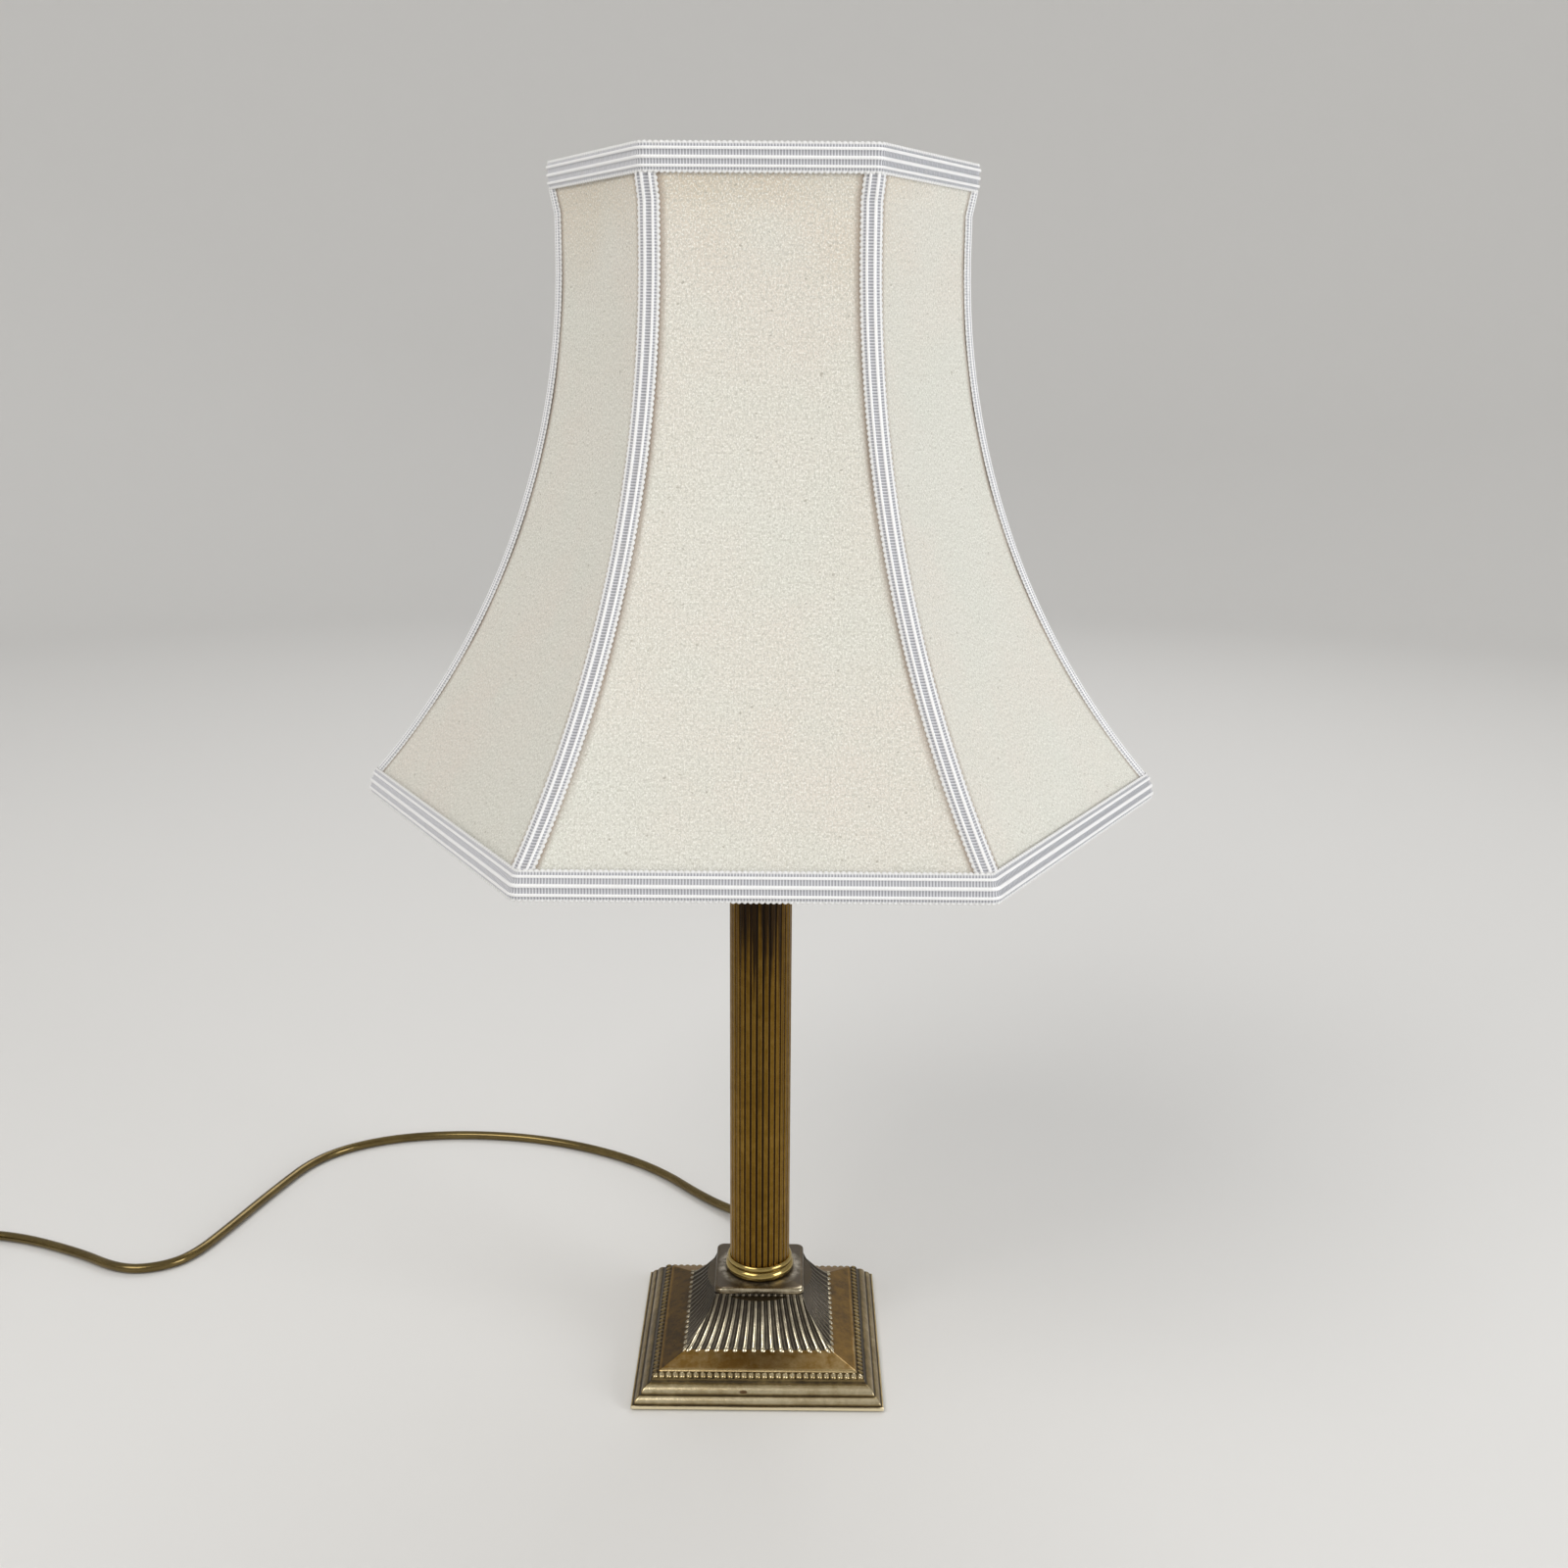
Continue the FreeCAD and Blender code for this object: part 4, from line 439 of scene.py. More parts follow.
def crepe_material():
    """Cream crepe satin: pebbled grain with bright flecks, slubs, and slow uneven yellowing."""
    paint = Paint("crepe_satin", Roughness=0.6, Specular_IOR_Level=0.4,
                  Sheen_Weight=0.3, Sheen_Roughness=0.4)
    where, flat, side = paint.place(), paint.uv(), paint.own("side")
    grain = paint.drawn(flat, (1500.0, 1050.0, 1.0), 2.0, 0.6)
    pebble = paint.drawn(flat, (860.0, 680.0, 1.0), 3.0, 0.7)
    drag = paint.drawn(flat, (900.0, 170.0, 1.0), 3.0, 0.6, turn=0.7)
    slub = paint.drawn(flat, (34.0, 1500.0, 1.0), 2.0)
    slow = paint.noise(where, 9.0, 3.0, 0.55)
    blush = paint.noise(where, 22.0, 3.0, 0.6)
    fleck = paint.drawn(flat, (330.0, 380.0, 1.0), 1.0)
    soil = paint.drawn(flat, (95.0, 80.0, 1.0), 2.0)
    colour = paint.mix(slow.step(0.4, 0.62), (0.73, 0.725, 0.655), (0.745, 0.695, 0.62))
    colour = paint.mix(blush.step(0.44, 0.62) * 0.45, colour, (0.7, 0.715, 0.64))
    height = paint.split(where)[2]
    aged = height.step(0.545, 0.602) * paint.noise(where, 13.0, 2.0).step(0.4, 0.6)
    colour = paint.mix(aged * 0.75, colour, (0.66, 0.545, 0.4))
    colour = paint.mix(pebble.step(0.44, 0.62) * 0.66, colour, (0.5, 0.485, 0.425))
    colour = paint.mix(grain.step(0.5, 0.66) * 0.75, colour, (0.97, 0.96, 0.91))
    colour = paint.mix(drag.step(0.54, 0.7) * 0.35, colour, (0.55, 0.53, 0.46))
    colour = paint.mix(slub.step(0.64, 0.76) * 0.35, colour, (0.52, 0.49, 0.42))
    colour = paint.mix(fleck.step(0.725, 0.77) * 0.6, colour, (0.34, 0.31, 0.25))
    colour = paint.mix(soil.step(0.74, 0.81) * 0.55, colour, (0.31, 0.27, 0.21))
    # painted shade: a thin darker line on the cloth just beside the braid, where the raised braid
    # shades it
    colour = paint.mix(side ** 1.5 * 0.75, colour, (0.3, 0.22, 0.165))
    rough = 0.5 + grain.step(0.3, 0.8) * 0.22
    raised = grain * 0.5 + pebble + slub * 0.5 + drag * 0.5
    return paint.finish(Base_Color=colour, Roughness=rough, Normal=paint.bump(raised, 0.00035, 0.7))


# ---- braid
# half widths and repeats of the braid, its cords, loops and ribs, in millimetres
BRAID_HALF, CORD_HALF, RIM_HALF = 6.0, 0.78, 0.6
CORD_PITCH, RIB_PITCH, LOOP_PITCH = 3.4, 1.27, 2.35
GROUND_HEIGHT, CORD_HEIGHT, RIB_HEIGHT, RIM_HEIGHT = 0.4, 0.85, 0.1, 0.55
EDGE_START = 4.7  # where the ground goes over into the looped edge
SEAM_LOW, SEAM_HIGH, SEAM_TUCK, FOLD_SOFTNESS = 314.0, 605.0, 3.5, 1.3


def braid_relief(across, run):
    """Height of the braid over the cloth, in mm, and how far it is a raised cord.

    Three half-round cords lie CORD_PITCH apart on a thin ribbed ground with looped edges.
    """
    cord = np.zeros_like(across)
    for centre in (-CORD_PITCH, 0.0, CORD_PITCH):
        cord = np.maximum(cord, ball(across - centre, 0.0, CORD_HALF, 1.0))
    edge = np.clip((np.abs(across) - EDGE_START) / 0.5, 0, 1)
    loop = np.abs(np.cos(run * math.pi / LOOP_PITCH)) ** 0.7
    rib = RIB_HEIGHT * np.cos(run * TAU / RIB_PITCH) * (1 - cord) * (1 - edge)
    rim = ball(np.abs(across) - BRAID_HALF + RIM_HALF, 0.0, RIM_HALF, 1.0) * (0.25 + 0.75 * loop)
    height = GROUND_HEIGHT + CORD_HEIGHT * cord + rib + RIM_HEIGHT * rim - 0.3 * edge
    return height, np.maximum(cord, 0.7 * rim)


def braid_places():
    """Places across the braid, in mm, closer together where the cords rise."""
    even = np.linspace(-1, 1, 31)
    return BRAID_HALF * (even - 0.035 * np.sin(even * BRAID_HALF / CORD_PITCH * TAU))


def braid_piece(name, base, normal, sideways, run, material, ring=False):
    """A length of braid over base points; its edges go in and out in small loops."""
    across, run = np.meshgrid(braid_places(), run)
    height, cord = braid_relief(across, run)
    outer = np.clip(np.abs(across) - BRAID_HALF + 1.0, 0, 1)
    loop = np.abs(np.cos(run * math.pi / LOOP_PITCH))
    shift = outer * (loop - 0.55) * 0.75 * np.sign(across)
    points = base + normal * height[..., None] + sideways * shift[..., None]
    uv = np.stack([across * MM, run * MM], 2)
    made = grid_piece(name, points * MM, material, "shade", uv, {"cord": cord},
                      ring=ring, flip=True)
    return made


def make_seam(number, material):
    """Braid folded over one corner of the shade; its ends lie flat, tucked under the two bands."""
    line = side_line(0.5)
    line = line[(line[:, 1] > SEAM_LOW) & (line[:, 1] < SEAM_HIGH)]
    run = along(line)
    inner = np.minimum(line[:, 1] - SEAM_LOW - 5.0, SEAM_HIGH - 3.0 - line[:, 1])
    tuck = 0.15 + 0.85 * np.clip(inner / SEAM_TUCK, 0, 1)
    slope = unit_slope(line)
    angle = math.radians(60 * number)
    far = line[:, 0] / COS30
    corner = np.stack([far * math.cos(angle), far * math.sin(angle), line[:, 1]], 1)
    across = braid_places()
    on_left = (across + np.sqrt(across ** 2 + FOLD_SOFTNESS ** 2)) / 2
    on_right = on_left - across
    base = np.repeat(corner[:, None, :], len(across), 1)
    share = on_left / (on_left + on_right)
    normal, sideways = np.zeros_like(base), np.zeros_like(base)
    up, lean = slope[:, 1], np.cos(np.arctan(np.abs(slope[:, 0]) * TAN30))
    for weight, blend, turn in ((on_left, share, 30), (on_right, 1 - share, -30)):
        face = angle + math.radians(turn)
        away = np.array([-math.sin(face), math.cos(face), 0.0]) * np.sign(turn)
        base += (weight / lean[:, None])[..., None] * away
        out = np.stack([up * math.cos(face), up * math.sin(face), -slope[:, 0]], 1)
        normal += blend[:, None] * out[:, None]
        sideways += blend[:, None] * away * np.sign(turn)
    normal *= tuck[:, None, None] / np.linalg.norm(normal, axis=2)[..., None]
    seam = braid_piece("braid_seam_%d" % (number + 1), base, normal, sideways, run, material)
    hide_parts("trim_seam_%d" % (number + 1))


def hexagon_path(half, radius, step):
    """Places and outward directions round a rounded hexagon with corners on the X axis."""
    places = []
    for number in range(SIDES):
        angle = math.radians(60 * number)
        centre = (half - radius) / COS30 * np.array([math.cos(angle), math.sin(angle)])
        for turn in np.linspace(-30, 30, 13):
            a = angle + math.radians(turn)
            places.append(centre + radius * np.array([math.cos(a), math.sin(a)]))
    closed = np.array(places + places[:1])
    run = along(closed)
    count = int(round(run[-1] / step))
    wanted = np.arange(count) * run[-1] / count
    path = places_at(wanted, run, closed)
    ahead = np.roll(path, -1, 0) - np.roll(path, 1, 0)
    ahead /= np.linalg.norm(ahead, axis=1)[:, None]
    return path, np.stack([ahead[:, 1], -ahead[:, 0]], 1), wanted


def make_band(name, section, node, material):
    """Braid round the whole shade; section runs across it from its upper to its lower edge."""
    half = section[len(section) // 2][0]
    path, outward, run = hexagon_path(half, radius=4.5, step=0.5)
    far = along(section)
    line = places_at((braid_places() / BRAID_HALF + 1) / 2 * far[-1], far, np.array(section))
    slope = unit_slope(line)
    base = np.zeros((len(path), len(line), 3))
    base[..., :2] = path[:, None] + outward[:, None] * (line[:, 0, None] - half)
    base[..., 2] = line[:, 1]
    normal = np.zeros_like(base)
    normal[..., :2] = outward[:, None] * -slope[:, 1, None]
    normal[..., 2] = slope[:, 0]
    sideways = np.zeros_like(base)
    sideways[..., :2] = outward[:, None] * slope[:, 0, None]
    sideways[..., 2] = slope[:, 1]
    band = braid_piece(name, base, normal, sideways, run, material, ring=True)
    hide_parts(node)


def make_binding(name, section, material):
    """Bias-cut binding rolled over a rim of the shade, round the whole hexagon."""
    line = spaced(rounded(section, 1.2, 4), 0.6)
    half = line[:, 0].max()
    path, outward, run = hexagon_path(half, radius=4.0, step=2.0)
    points = np.zeros((len(path), len(line), 3))
    points[..., :2] = path[:, None] + outward[:, None] * (line[:, 0, None] - half)
    points[..., 2] = line[:, 1] + 0.12 * np.sin(run / 3.1)[:, None]
    uv = np.stack(np.meshgrid(run * MM, along(line) * MM, indexing="ij"), 2)
    made = grid_piece(name, points * MM, material, "shade", uv, ring=True, flip=True)


def braid_material():
    """Rayon braid: bright smooth cords, grey close-ribbed ground and creamy looped edges."""
    paint = Paint("braid", Roughness=0.45, Specular_IOR_Level=0.5, Sheen_Weight=0.2)
    flat, cord = paint.uv(), paint.own("cord")
    across, run, _ = paint.split(flat)
    ribs = (run * (TAU / (RIB_PITCH * MM))).sine().step(-0.6, 0.9)
    twist = ((run + across * 0.8) * (TAU / 0.0009)).sine().step(-1.0, 1.0)
    grime = paint.noise(paint.place(), 130.0)
    edge = across.size().step(EDGE_START * MM, 0.0056)
    ground = paint.mix(ribs, (0.33, 0.34, 0.37), (0.7, 0.7, 0.735))
    ground = paint.mix(edge, ground, (0.76, 0.76, 0.75))
    colour = paint.mix(cord.step(0.3, 0.8), ground, (0.94, 0.94, 0.945))
    colour = paint.mix(grime.step(0.58, 0.75) * 0.12, colour, (0.62, 0.58, 0.5))
    rough = 0.62 - cord.step(0.2, 0.9) * 0.3
    height = ribs * 0.6 + twist * 0.25 * cord
    return paint.finish(Base_Color=colour, Roughness=rough, Normal=paint.bump(height, 0.00018, 0.6))


def lining_material():
    """White woven lining, a little yellowed in places."""
    paint = Paint("lining_cloth", Roughness=0.75, Sheen_Weight=0.2)
    where = paint.place()
    weave = paint.noise(where, 1500.0, 2.0)
    slow = paint.noise(where, 9.0, 2.0)
    colour = paint.mix(slow.step(0.35, 0.7), (0.86, 0.84, 0.78), (0.78, 0.74, 0.66))
    return paint.finish(Base_Color=colour, Roughness=0.7 + weave * 0.15,
                        Normal=paint.bump(weave, 0.00015, 0.5))


def make_lining(material):
    """The white lining: six flat widths of cloth sewn at the corners, behind the frame."""
    line = side_line(3.0, offset=-5.5, low=313.0, high=608.0)
    line[:, 0] = np.where(line[:, 1] > SWEEP_HIGH, line[:, 0].min(), line[:, 0])
    columns, per_side = [], 16
    for number in range(SIDES):
        outward, sideways = side_frame(number)
        for t in np.linspace(-1, 1, per_side + 1)[:-1]:
            columns.append(outward + sideways * t * TAN30)
    columns = np.array(columns)
    points = line[:, 0, None, None] * columns
    wave = np.sin(np.arange(len(columns)) * TAU / per_side)
    pucker = 0.15 * wave * np.sin(line[:, 1, None] / 6.0)
    points[..., :2] *= (1 + pucker / line[:, 0, None])[..., None]
    points[..., 2] = line[:, 1, None]
    lining = grid_piece("lining_cloth", points * MM, material, "shade", tube=True, flip=True)
    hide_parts("shade_lining")


# ---- base
def standing_out(profile, reach=1.3):
    """How far each place on a profile stands out: 0 in a hollow, 0.5 on a flat and 1 on an edge."""
    run = along(profile)
    slope = unit_slope(profile)
    outward = np.stack([slope[:, 1], -slope[:, 0]], 1)
    middle = (places_at(run - reach, run, profile) + places_at(run + reach, run, profile)) / 2
    return np.clip(0.5 + ((profile - middle) * outward).sum(1) / 0.9, 0, 1), outward


# Painted light and shade: the crest is lowered on the right, rear and left and raised a little on
# the front, as the light falls on them.
SIDE_PAINTED_SHADING = (-0.07, 0.23, 0.1, 0.3)  # how much duller the front, right, rear and left are


def square_piece(name, profile, across, material, relief=None, corner=0.5, bore=None):
    """A mitred moulding round a square: half width and height along the profile, in millimetres.

    relief(x, half, run) gives how far the surface is pushed outwards and how bright it is, from
    wear and, on the reeds, painted highlight.
    bore is a round hole in the rear side: its height and radius.
    """
    profile = np.asarray(profile, float)
    stand, outward = standing_out(profile)
    run = along(profile)
    half = profile[:, 0, None]
    round_ = np.minimum(corner, np.abs(half))
    inner = half - round_
    flat = np.linspace(-1, 1, across + 1) * inner
    turns = np.radians([18.0, 36.0, 54.0, 72.0])
    x = np.concatenate([flat, inner + round_ * np.sin(turns)], 1)
    y = np.concatenate([np.repeat(-half, across + 1, 1), -(inner + round_ * np.cos(turns))], 1)
    lift, crest = np.zeros_like(x), np.repeat(stand[:, None], x.shape[1], 1)
    if relief is not None:
        lift, bright = relief(x, half, run[:, None])
        crest = np.clip(crest - 0.5 + bright, 0, 1)
    angle = np.concatenate([np.zeros(across + 1), turns])
    push = lift * outward[:, 0, None]
    x, y = x + push * np.sin(angle), y - push * np.cos(angle)
    z = profile[:, 1, None] + lift * outward[:, 1, None]
    turned = ((1, 0), (0, 1), (-1, 0), (0, -1))
    sides = [np.stack([x * c - y * s, x * s + y * c, z], 2) for c, s in turned]
    points = np.concatenate(sides, 1)
    # painted light and shade: each side made duller or brighter by its amount above
    crest = np.concatenate([np.clip(crest - painted_shading, 0, 1) for painted_shading in SIDE_PAINTED_SHADING], 1)
    if bore is not None:
        height, radius = bore
        far = np.hypot(points[..., 0], points[..., 2] - height)
        inside = (far < radius) & (points[..., 1] > 0)
        grow = np.where(inside, radius / np.maximum(far, 1e-6), 1.0)
        points[..., 0] *= grow
        moved = height + (points[..., 2] - height) * grow
        order = np.argsort(profile[:, 1])
        depth = np.interp(moved, profile[order, 1], profile[order, 0])
        points[..., 1] = np.where(inside, depth, points[..., 1])
        points[..., 2] = moved
    made = grid_piece(name, points * MM, material, "lamp", numbers={"crest": crest}, tube=True)
    if bore is not None:
        drop_faces(made, inside.reshape(-1))
    return made


def drop_faces(made, chosen):
    """Take out the faces whose corners are all chosen."""
    edit = bmesh.new()
    edit.from_mesh(made.data)
    edit.verts.ensure_lookup_table()
    gone = [face for face in edit.faces if all(chosen[vert.index] for vert in face.verts)]
    bmesh.ops.delete(edit, geom=gone, context="FACES")
    edit.to_mesh(made.data)
    edit.free()


BEAD_PITCH = 53.3 * 2 / 30
# reeds on half a side, their pitch at the top and its growth to the foot, and both half widths
REEDS_HALF, REED_PITCH, REED_SPREAD = 8, 3.35, 1.65
REED_TOP_HALF, REED_FOOT_HALF = 23.4, 40.2
# the hole for the flex: height, radius, radius of the bush in it, and depth
HOLE_HEIGHT, HOLE_RADIUS, BUSH_RADIUS, HOLE_INSIDE = 7.6, 5.3, 4.6, 57.6


def bead_relief(x, half, run):
    """A row of round beads in a shallow trough, one of them on each corner."""
    index = np.clip(np.round(x / BEAD_PITCH), -15, 15)
    bead = ball(x - index * BEAD_PITCH, run - 2.15, 1.62, 1.85)
    trough = np.clip(1 - np.abs(run - 2.1) / 2.0, 0, 1)
    return 1.05 * bead - 0.35 * trough, 0.1 + 0.68 * bead


def reed_relief(x, half, run):
    """Sixteen half-round reeds a side, narrower towards the cap, with thin fillets between them.

    With u = x / pitch, a reed stands at each half integer and a fillet at each integer. Each
    reed ends in a round tooth at its foot and swells a little where it runs under the cap.
    """
    grown = (half - REED_TOP_HALF) / (REED_FOOT_HALF - REED_TOP_HALF)
    pitch = REED_PITCH + grown * REED_SPREAD
    u = np.clip(x / pitch, -REEDS_HALF, REEDS_HALF)
    off = np.abs(u - np.floor(u) - 0.5)
    corner = np.abs(u) > REEDS_HALF - 0.32
    off = np.where(corner, np.abs(REEDS_HALF - np.abs(u)) * 1.5, off)
    reed = ball(off, 0.0, 0.3, 1.0)
    fillet = ball(0.5 - off, 0.0, 0.11, 1.0) * ~corner
    length = run.max()
    tooth = ball(off * pitch, run - 1.5, 1.55, 1.7)
    head = ball(off * pitch, length - run - 0.9, 1.3, 1.4)
    start = np.clip((run - 1.2) / 1.2, 0, 1)
    arris = np.clip(1 - (half - np.abs(x)) / 0.9, 0, 1)
    body = np.maximum(reed, 0.45 * fillet) * start
    raised = np.maximum(body, np.maximum(1.25 * tooth, 1.05 * head))
    # The reeds' brightness is partly wear, partly painted highlight: narrow crest highlights that
    # grow towards the foot, where the reeds turn up to the light, and bright teeth and corners.
    low = np.clip(1.15 - run / length, 0, 1)
    bright = (0.36 * reed ** 1.5 + 0.5 * reed ** 6 * low) * start + 0.2 * fillet ** 2 * start
    bright = bright + 0.95 * tooth ** 0.5 + 0.5 * arris
    return 1.1 * (raised - 1), np.clip(bright, 0, 1)


def cap_relief(x, half, run):
    """A plain face, dull on its flats."""
    return np.zeros_like(x), np.full_like(x, 0.22)


def make_base(material, plate_metal, reed_metal, cap_metal):
    """The cast base from foot to cap; profiles are half width and height, in millimetres."""
    lower = [(56.6, 1.0), (65.0, 1.0), (65.0, 2.6), (63.7, 2.6)]
    lower += arc_points((63.7, 2.6), (61.1, 6.2), 5.2, 1, 8) + [(60.4, 6.2)]
    lower += arc_points((60.4, 6.2), (56.5, 10.6), 6.0, 1, 10)
    lower += arc_points((56.5, 10.6), (55.2, 12.6), 2.0, -1, 6)
    lower = rounded(lower, 0.4, 4)
    fine = [lower[0]]
    for a, b in zip(lower[:-1], lower[1:]):
        count = max(int(np.linalg.norm(b - a) / 0.45), 1)
        fine += [a + (b - a) * k / count for k in range(1, count + 1)]
    fine = np.array(fine)
    band = spaced([(55.2, 12.6), (51.4, 14.4)], 0.28)
    plate = spaced(rounded([(51.5, 14.3), (51.0, 14.95), (40.2, 18.2), (38.4, 18.8)], 0.5), 0.5)
    foot = (REED_FOOT_HALF, 18.1)
    hollow = spaced([foot] + arc_points(foot, (REED_TOP_HALF, 42.4), 51.0, -1, 40), 0.36)
    cap = [(20.0, 42.3), (23.2, 42.3), (23.8, 42.9), (23.8, 44.7), (23.4, 45.4), (22.5, 45.8),
           (8.0, 45.8)]
    cap = spaced(rounded(cap, 0.8), 0.3)
    under = spaced([(19.8, 41.4), (36.6, 13.5), (45.1, 10.2), (51.6, 10.2), (56.6, 1.0)], 2.0)

    angles = np.linspace(0, TAU, 65)[:-1]
    x, z = np.cos(angles), np.sin(angles)
    face = fine[8:][np.argsort(fine[8:, 1])]
    outer = np.interp(HOLE_HEIGHT + HOLE_RADIUS * z, face[:, 1], face[:, 0])
    hole = [np.stack([BUSH_RADIUS * x, np.full(64, HOLE_INSIDE), HOLE_HEIGHT + BUSH_RADIUS * z], 1)]
    for share in (0.0, 0.5, 1.0):
        y = HOLE_INSIDE + (outer - HOLE_INSIDE) * share
        hole.append(np.stack([HOLE_RADIUS * x, y, HOLE_HEIGHT + HOLE_RADIUS * z], 1))

    pieces = [
        square_piece("base_moulding", fine, 180, material, bore=(HOLE_HEIGHT, HOLE_RADIUS)),
        square_piece("base_beads", band, 288, material, bead_relief),
        square_piece("base_plate", plate, 60, plate_metal),
        square_piece("base_reeds", hollow, 224, reed_metal, reed_relief),
        square_piece("base_cap", cap, 48, cap_metal, cap_relief, corner=3.5),
        square_piece("base_inside", under, 24, material),
        grid_piece("base_roof", ring_rows((5.3, 28.5), (41.4, 41.4), 48) * MM, material, "lamp",
                   tube=True),
        grid_piece("base_cord_hole", np.array(hole) * MM, material, "lamp", tube=True),
    ]
    for piece in pieces:
        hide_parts("base_shell")


def brass_material(name, deep, middle, bright, rough, runs_and_painted_shade=False, halo=False, mark=None):
    """Aged brass: bright where it stands out, from wear and from the painted highlights and painted
    side shading that its crest carries, dark in its hollows, and blotched.

    The column's option adds tarnish runs down it, a painted dark reflection of the shade's inside
    just below the shade, and painted shadow darkening towards the top; halo is a pale ring round
    the foot ring, and mark the place of a brown spot on the front.
    """
    paint = Paint(name, Metallic=1.0, Roughness=rough)
    where, crest = paint.place(), paint.own("crest")
    broad = paint.noise(where, 28.0, 4.0, 0.6)
    small = paint.noise(where, 210.0, 4.0, 0.65)
    grit = paint.noise(where, 1400.0, 3.0, 0.6)
    worn = crest + (broad - 0.5) * 0.45 + (small - 0.5) * 0.5
    colour = paint.mix(worn.step(0.12, 0.5), deep, middle)
    colour = paint.mix(worn.step(0.52, 0.95), colour, bright)
    stain = paint.cells(where, 90.0).step(0.16, 0.06) * broad.step(0.5, 0.62)
    colour = paint.mix(stain * 0.3, colour, tuple(v * 0.35 for v in deep))
    metal = worn.step(-0.1, 0.45) * 0.35 + 0.65
    level = rough + 0.16 - worn.step(0.3, 0.9) * 0.22 + (grit - 0.5) * 0.25
    height = small * 0.6 + grit * 0.4
    x, y, z = paint.split(where)
    if halo:
        far = (x * x + y * y) ** 0.5
        pale = far.step(0.0235, 0.0205) * far.step(0.0175, 0.019) * small.step(0.35, 0.6)
        colour = paint.mix(pale * 0.5, colour, (0.52, 0.48, 0.4))
    if mark is not None:
        far = ((x - mark[0]) / 0.0021) ** 2.0 + ((z - mark[1]) / 0.0008) ** 2.0
        spot = far.step(1.1, 0.75) * y.step(-0.05, -0.055)
        colour = paint.mix(spot * 0.85, colour, (0.13, 0.055, 0.015))
    if runs_and_painted_shade:
        fine = paint.drawn(where, (420.0, 420.0, 9.0), 3.0, 0.6)
        reach = paint.drawn(where, (260.0, 260.0, 3.0), 3.0, 0.7)
        # painted reflection: near black just below the shade on the front and back, for the dark
        # inside of the shade reflected in the flats
        dark = (z + (reach - 0.5) * 0.16).step(0.222, 0.25) * x.size().step(0.0125, 0.0095)
        colour = paint.mix(dark * 0.92, colour, (0.018, 0.015, 0.012))
        colour = paint.mix(fine.step(0.58, 0.72) * 0.35, colour, deep)
        # darker towards the top: partly tarnish, partly painted shadow of the shade
        colour = paint.mix(z.step(0.13, 0.27) * 0.45, colour, deep)
        level = level + dark * 0.15
    return paint.finish(Base_Color=colour, Roughness=level, Metallic=metal,
                        Normal=paint.bump(height, 0.0002, 0.4))


FLUTES, COLUMN_RADIUS = 30, 16.0
GROOVE_HALF, GROOVE_DEPTH = 0.62, 0.95
COLUMN_LOW, COLUMN_HIGH = 54.0, 362.0


def make_column(material):
    """The fluted tube: thirty narrow elliptic grooves between slightly crowned flats."""
    around = FLUTES * 16
    angle = np.arange(around) / around * TAU
    pitch = TAU * COLUMN_RADIUS / FLUTES
    off = (angle / TAU * FLUTES) % 1.0
    off = np.minimum(off, 1 - off) * pitch
    groove = ball(off, 0.0, GROOVE_HALF, 1.0)
    soft = np.clip((off - 0.6) / 0.35, 0, 1)
    flat = np.clip(1 - np.abs(off - pitch / 2) / (pitch / 2), 0, 1)
    edge = 0.12 * (1 - soft) * (groove == 0)
    radius = COLUMN_RADIUS - GROOVE_DEPTH * groove - edge - 0.05 * flat
    low, high = COLUMN_LOW, COLUMN_HIGH
    middle = np.linspace(low + 2, high - 2, 77)
    heights = np.array([low, low + 0.4, *middle, high - 0.4, high])
    end = np.where((heights < low + 0.2) | (heights > high - 0.2), 0.15, 0.0)
    ring = radius - end[:, None]
    z = np.repeat(heights[:, None], around, 1)
    points = np.stack([ring * np.cos(angle), ring * np.sin(angle), z], 2)
    crest = np.where(groove > 0, 0.3 - 0.3 * groove, 0.52 + 0.3 * (1 - soft))
    crest = np.repeat(crest[None, :], len(heights), 0)
    column = grid_piece("column_fluted", points * MM, material, "lamp",
                        numbers={"crest": crest}, tube=True)
    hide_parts("column_tube")


# ---- the carried-over parts
def plain_metal(name, colour, rough, spots=(0.3, 0.28, 0.25), scale=160.0, metal=1.0,
                grain=0.3):
    """A metal with fine handling marks, small dull spots and a slightly uneven shine."""
    paint = Paint(name, Metallic=metal, Roughness=rough)
    where = paint.place()
    cloud = paint.noise(where, scale, 4.0, 0.6)
    grit = paint.noise(where, scale * 9, 2.0, 0.6)
    tint = paint.mix(cloud.step(0.35, 0.7) * 0.5, colour, tuple(v * 0.72 for v in colour))
    tint = paint.mix(grit.step(0.66, 0.74) * 0.4, tint, spots)
    level = rough + (cloud - 0.5) * 0.2 + (grit - 0.5) * 0.15
    return paint.finish(Base_Color=tint, Roughness=level, Normal=paint.bump(grit, 0.0001, grain))


def threaded_metal(name, colour, rough, pitch):
    """The same metal with a screw thread round the upright axis."""
    paint = Paint(name, Metallic=1.0, Roughness=rough)
    where = paint.place()
    x, y, z = paint.split(where)
    around = paint.math("ARCTAN2", y, x) / TAU
    turns = (z / pitch + around).fraction()
    ridge = 1 - (turns * 2 - 1).size()
    grit = paint.noise(where, 1200.0, 2.0)
    tint = paint.mix(ridge.step(0.1, 0.8), tuple(v * 0.35 for v in colour), colour)
    return paint.finish(Base_Color=tint, Roughness=rough + (grit - 0.5) * 0.2,
                        Normal=paint.bump(ridge, pitch * 0.4, 0.8))


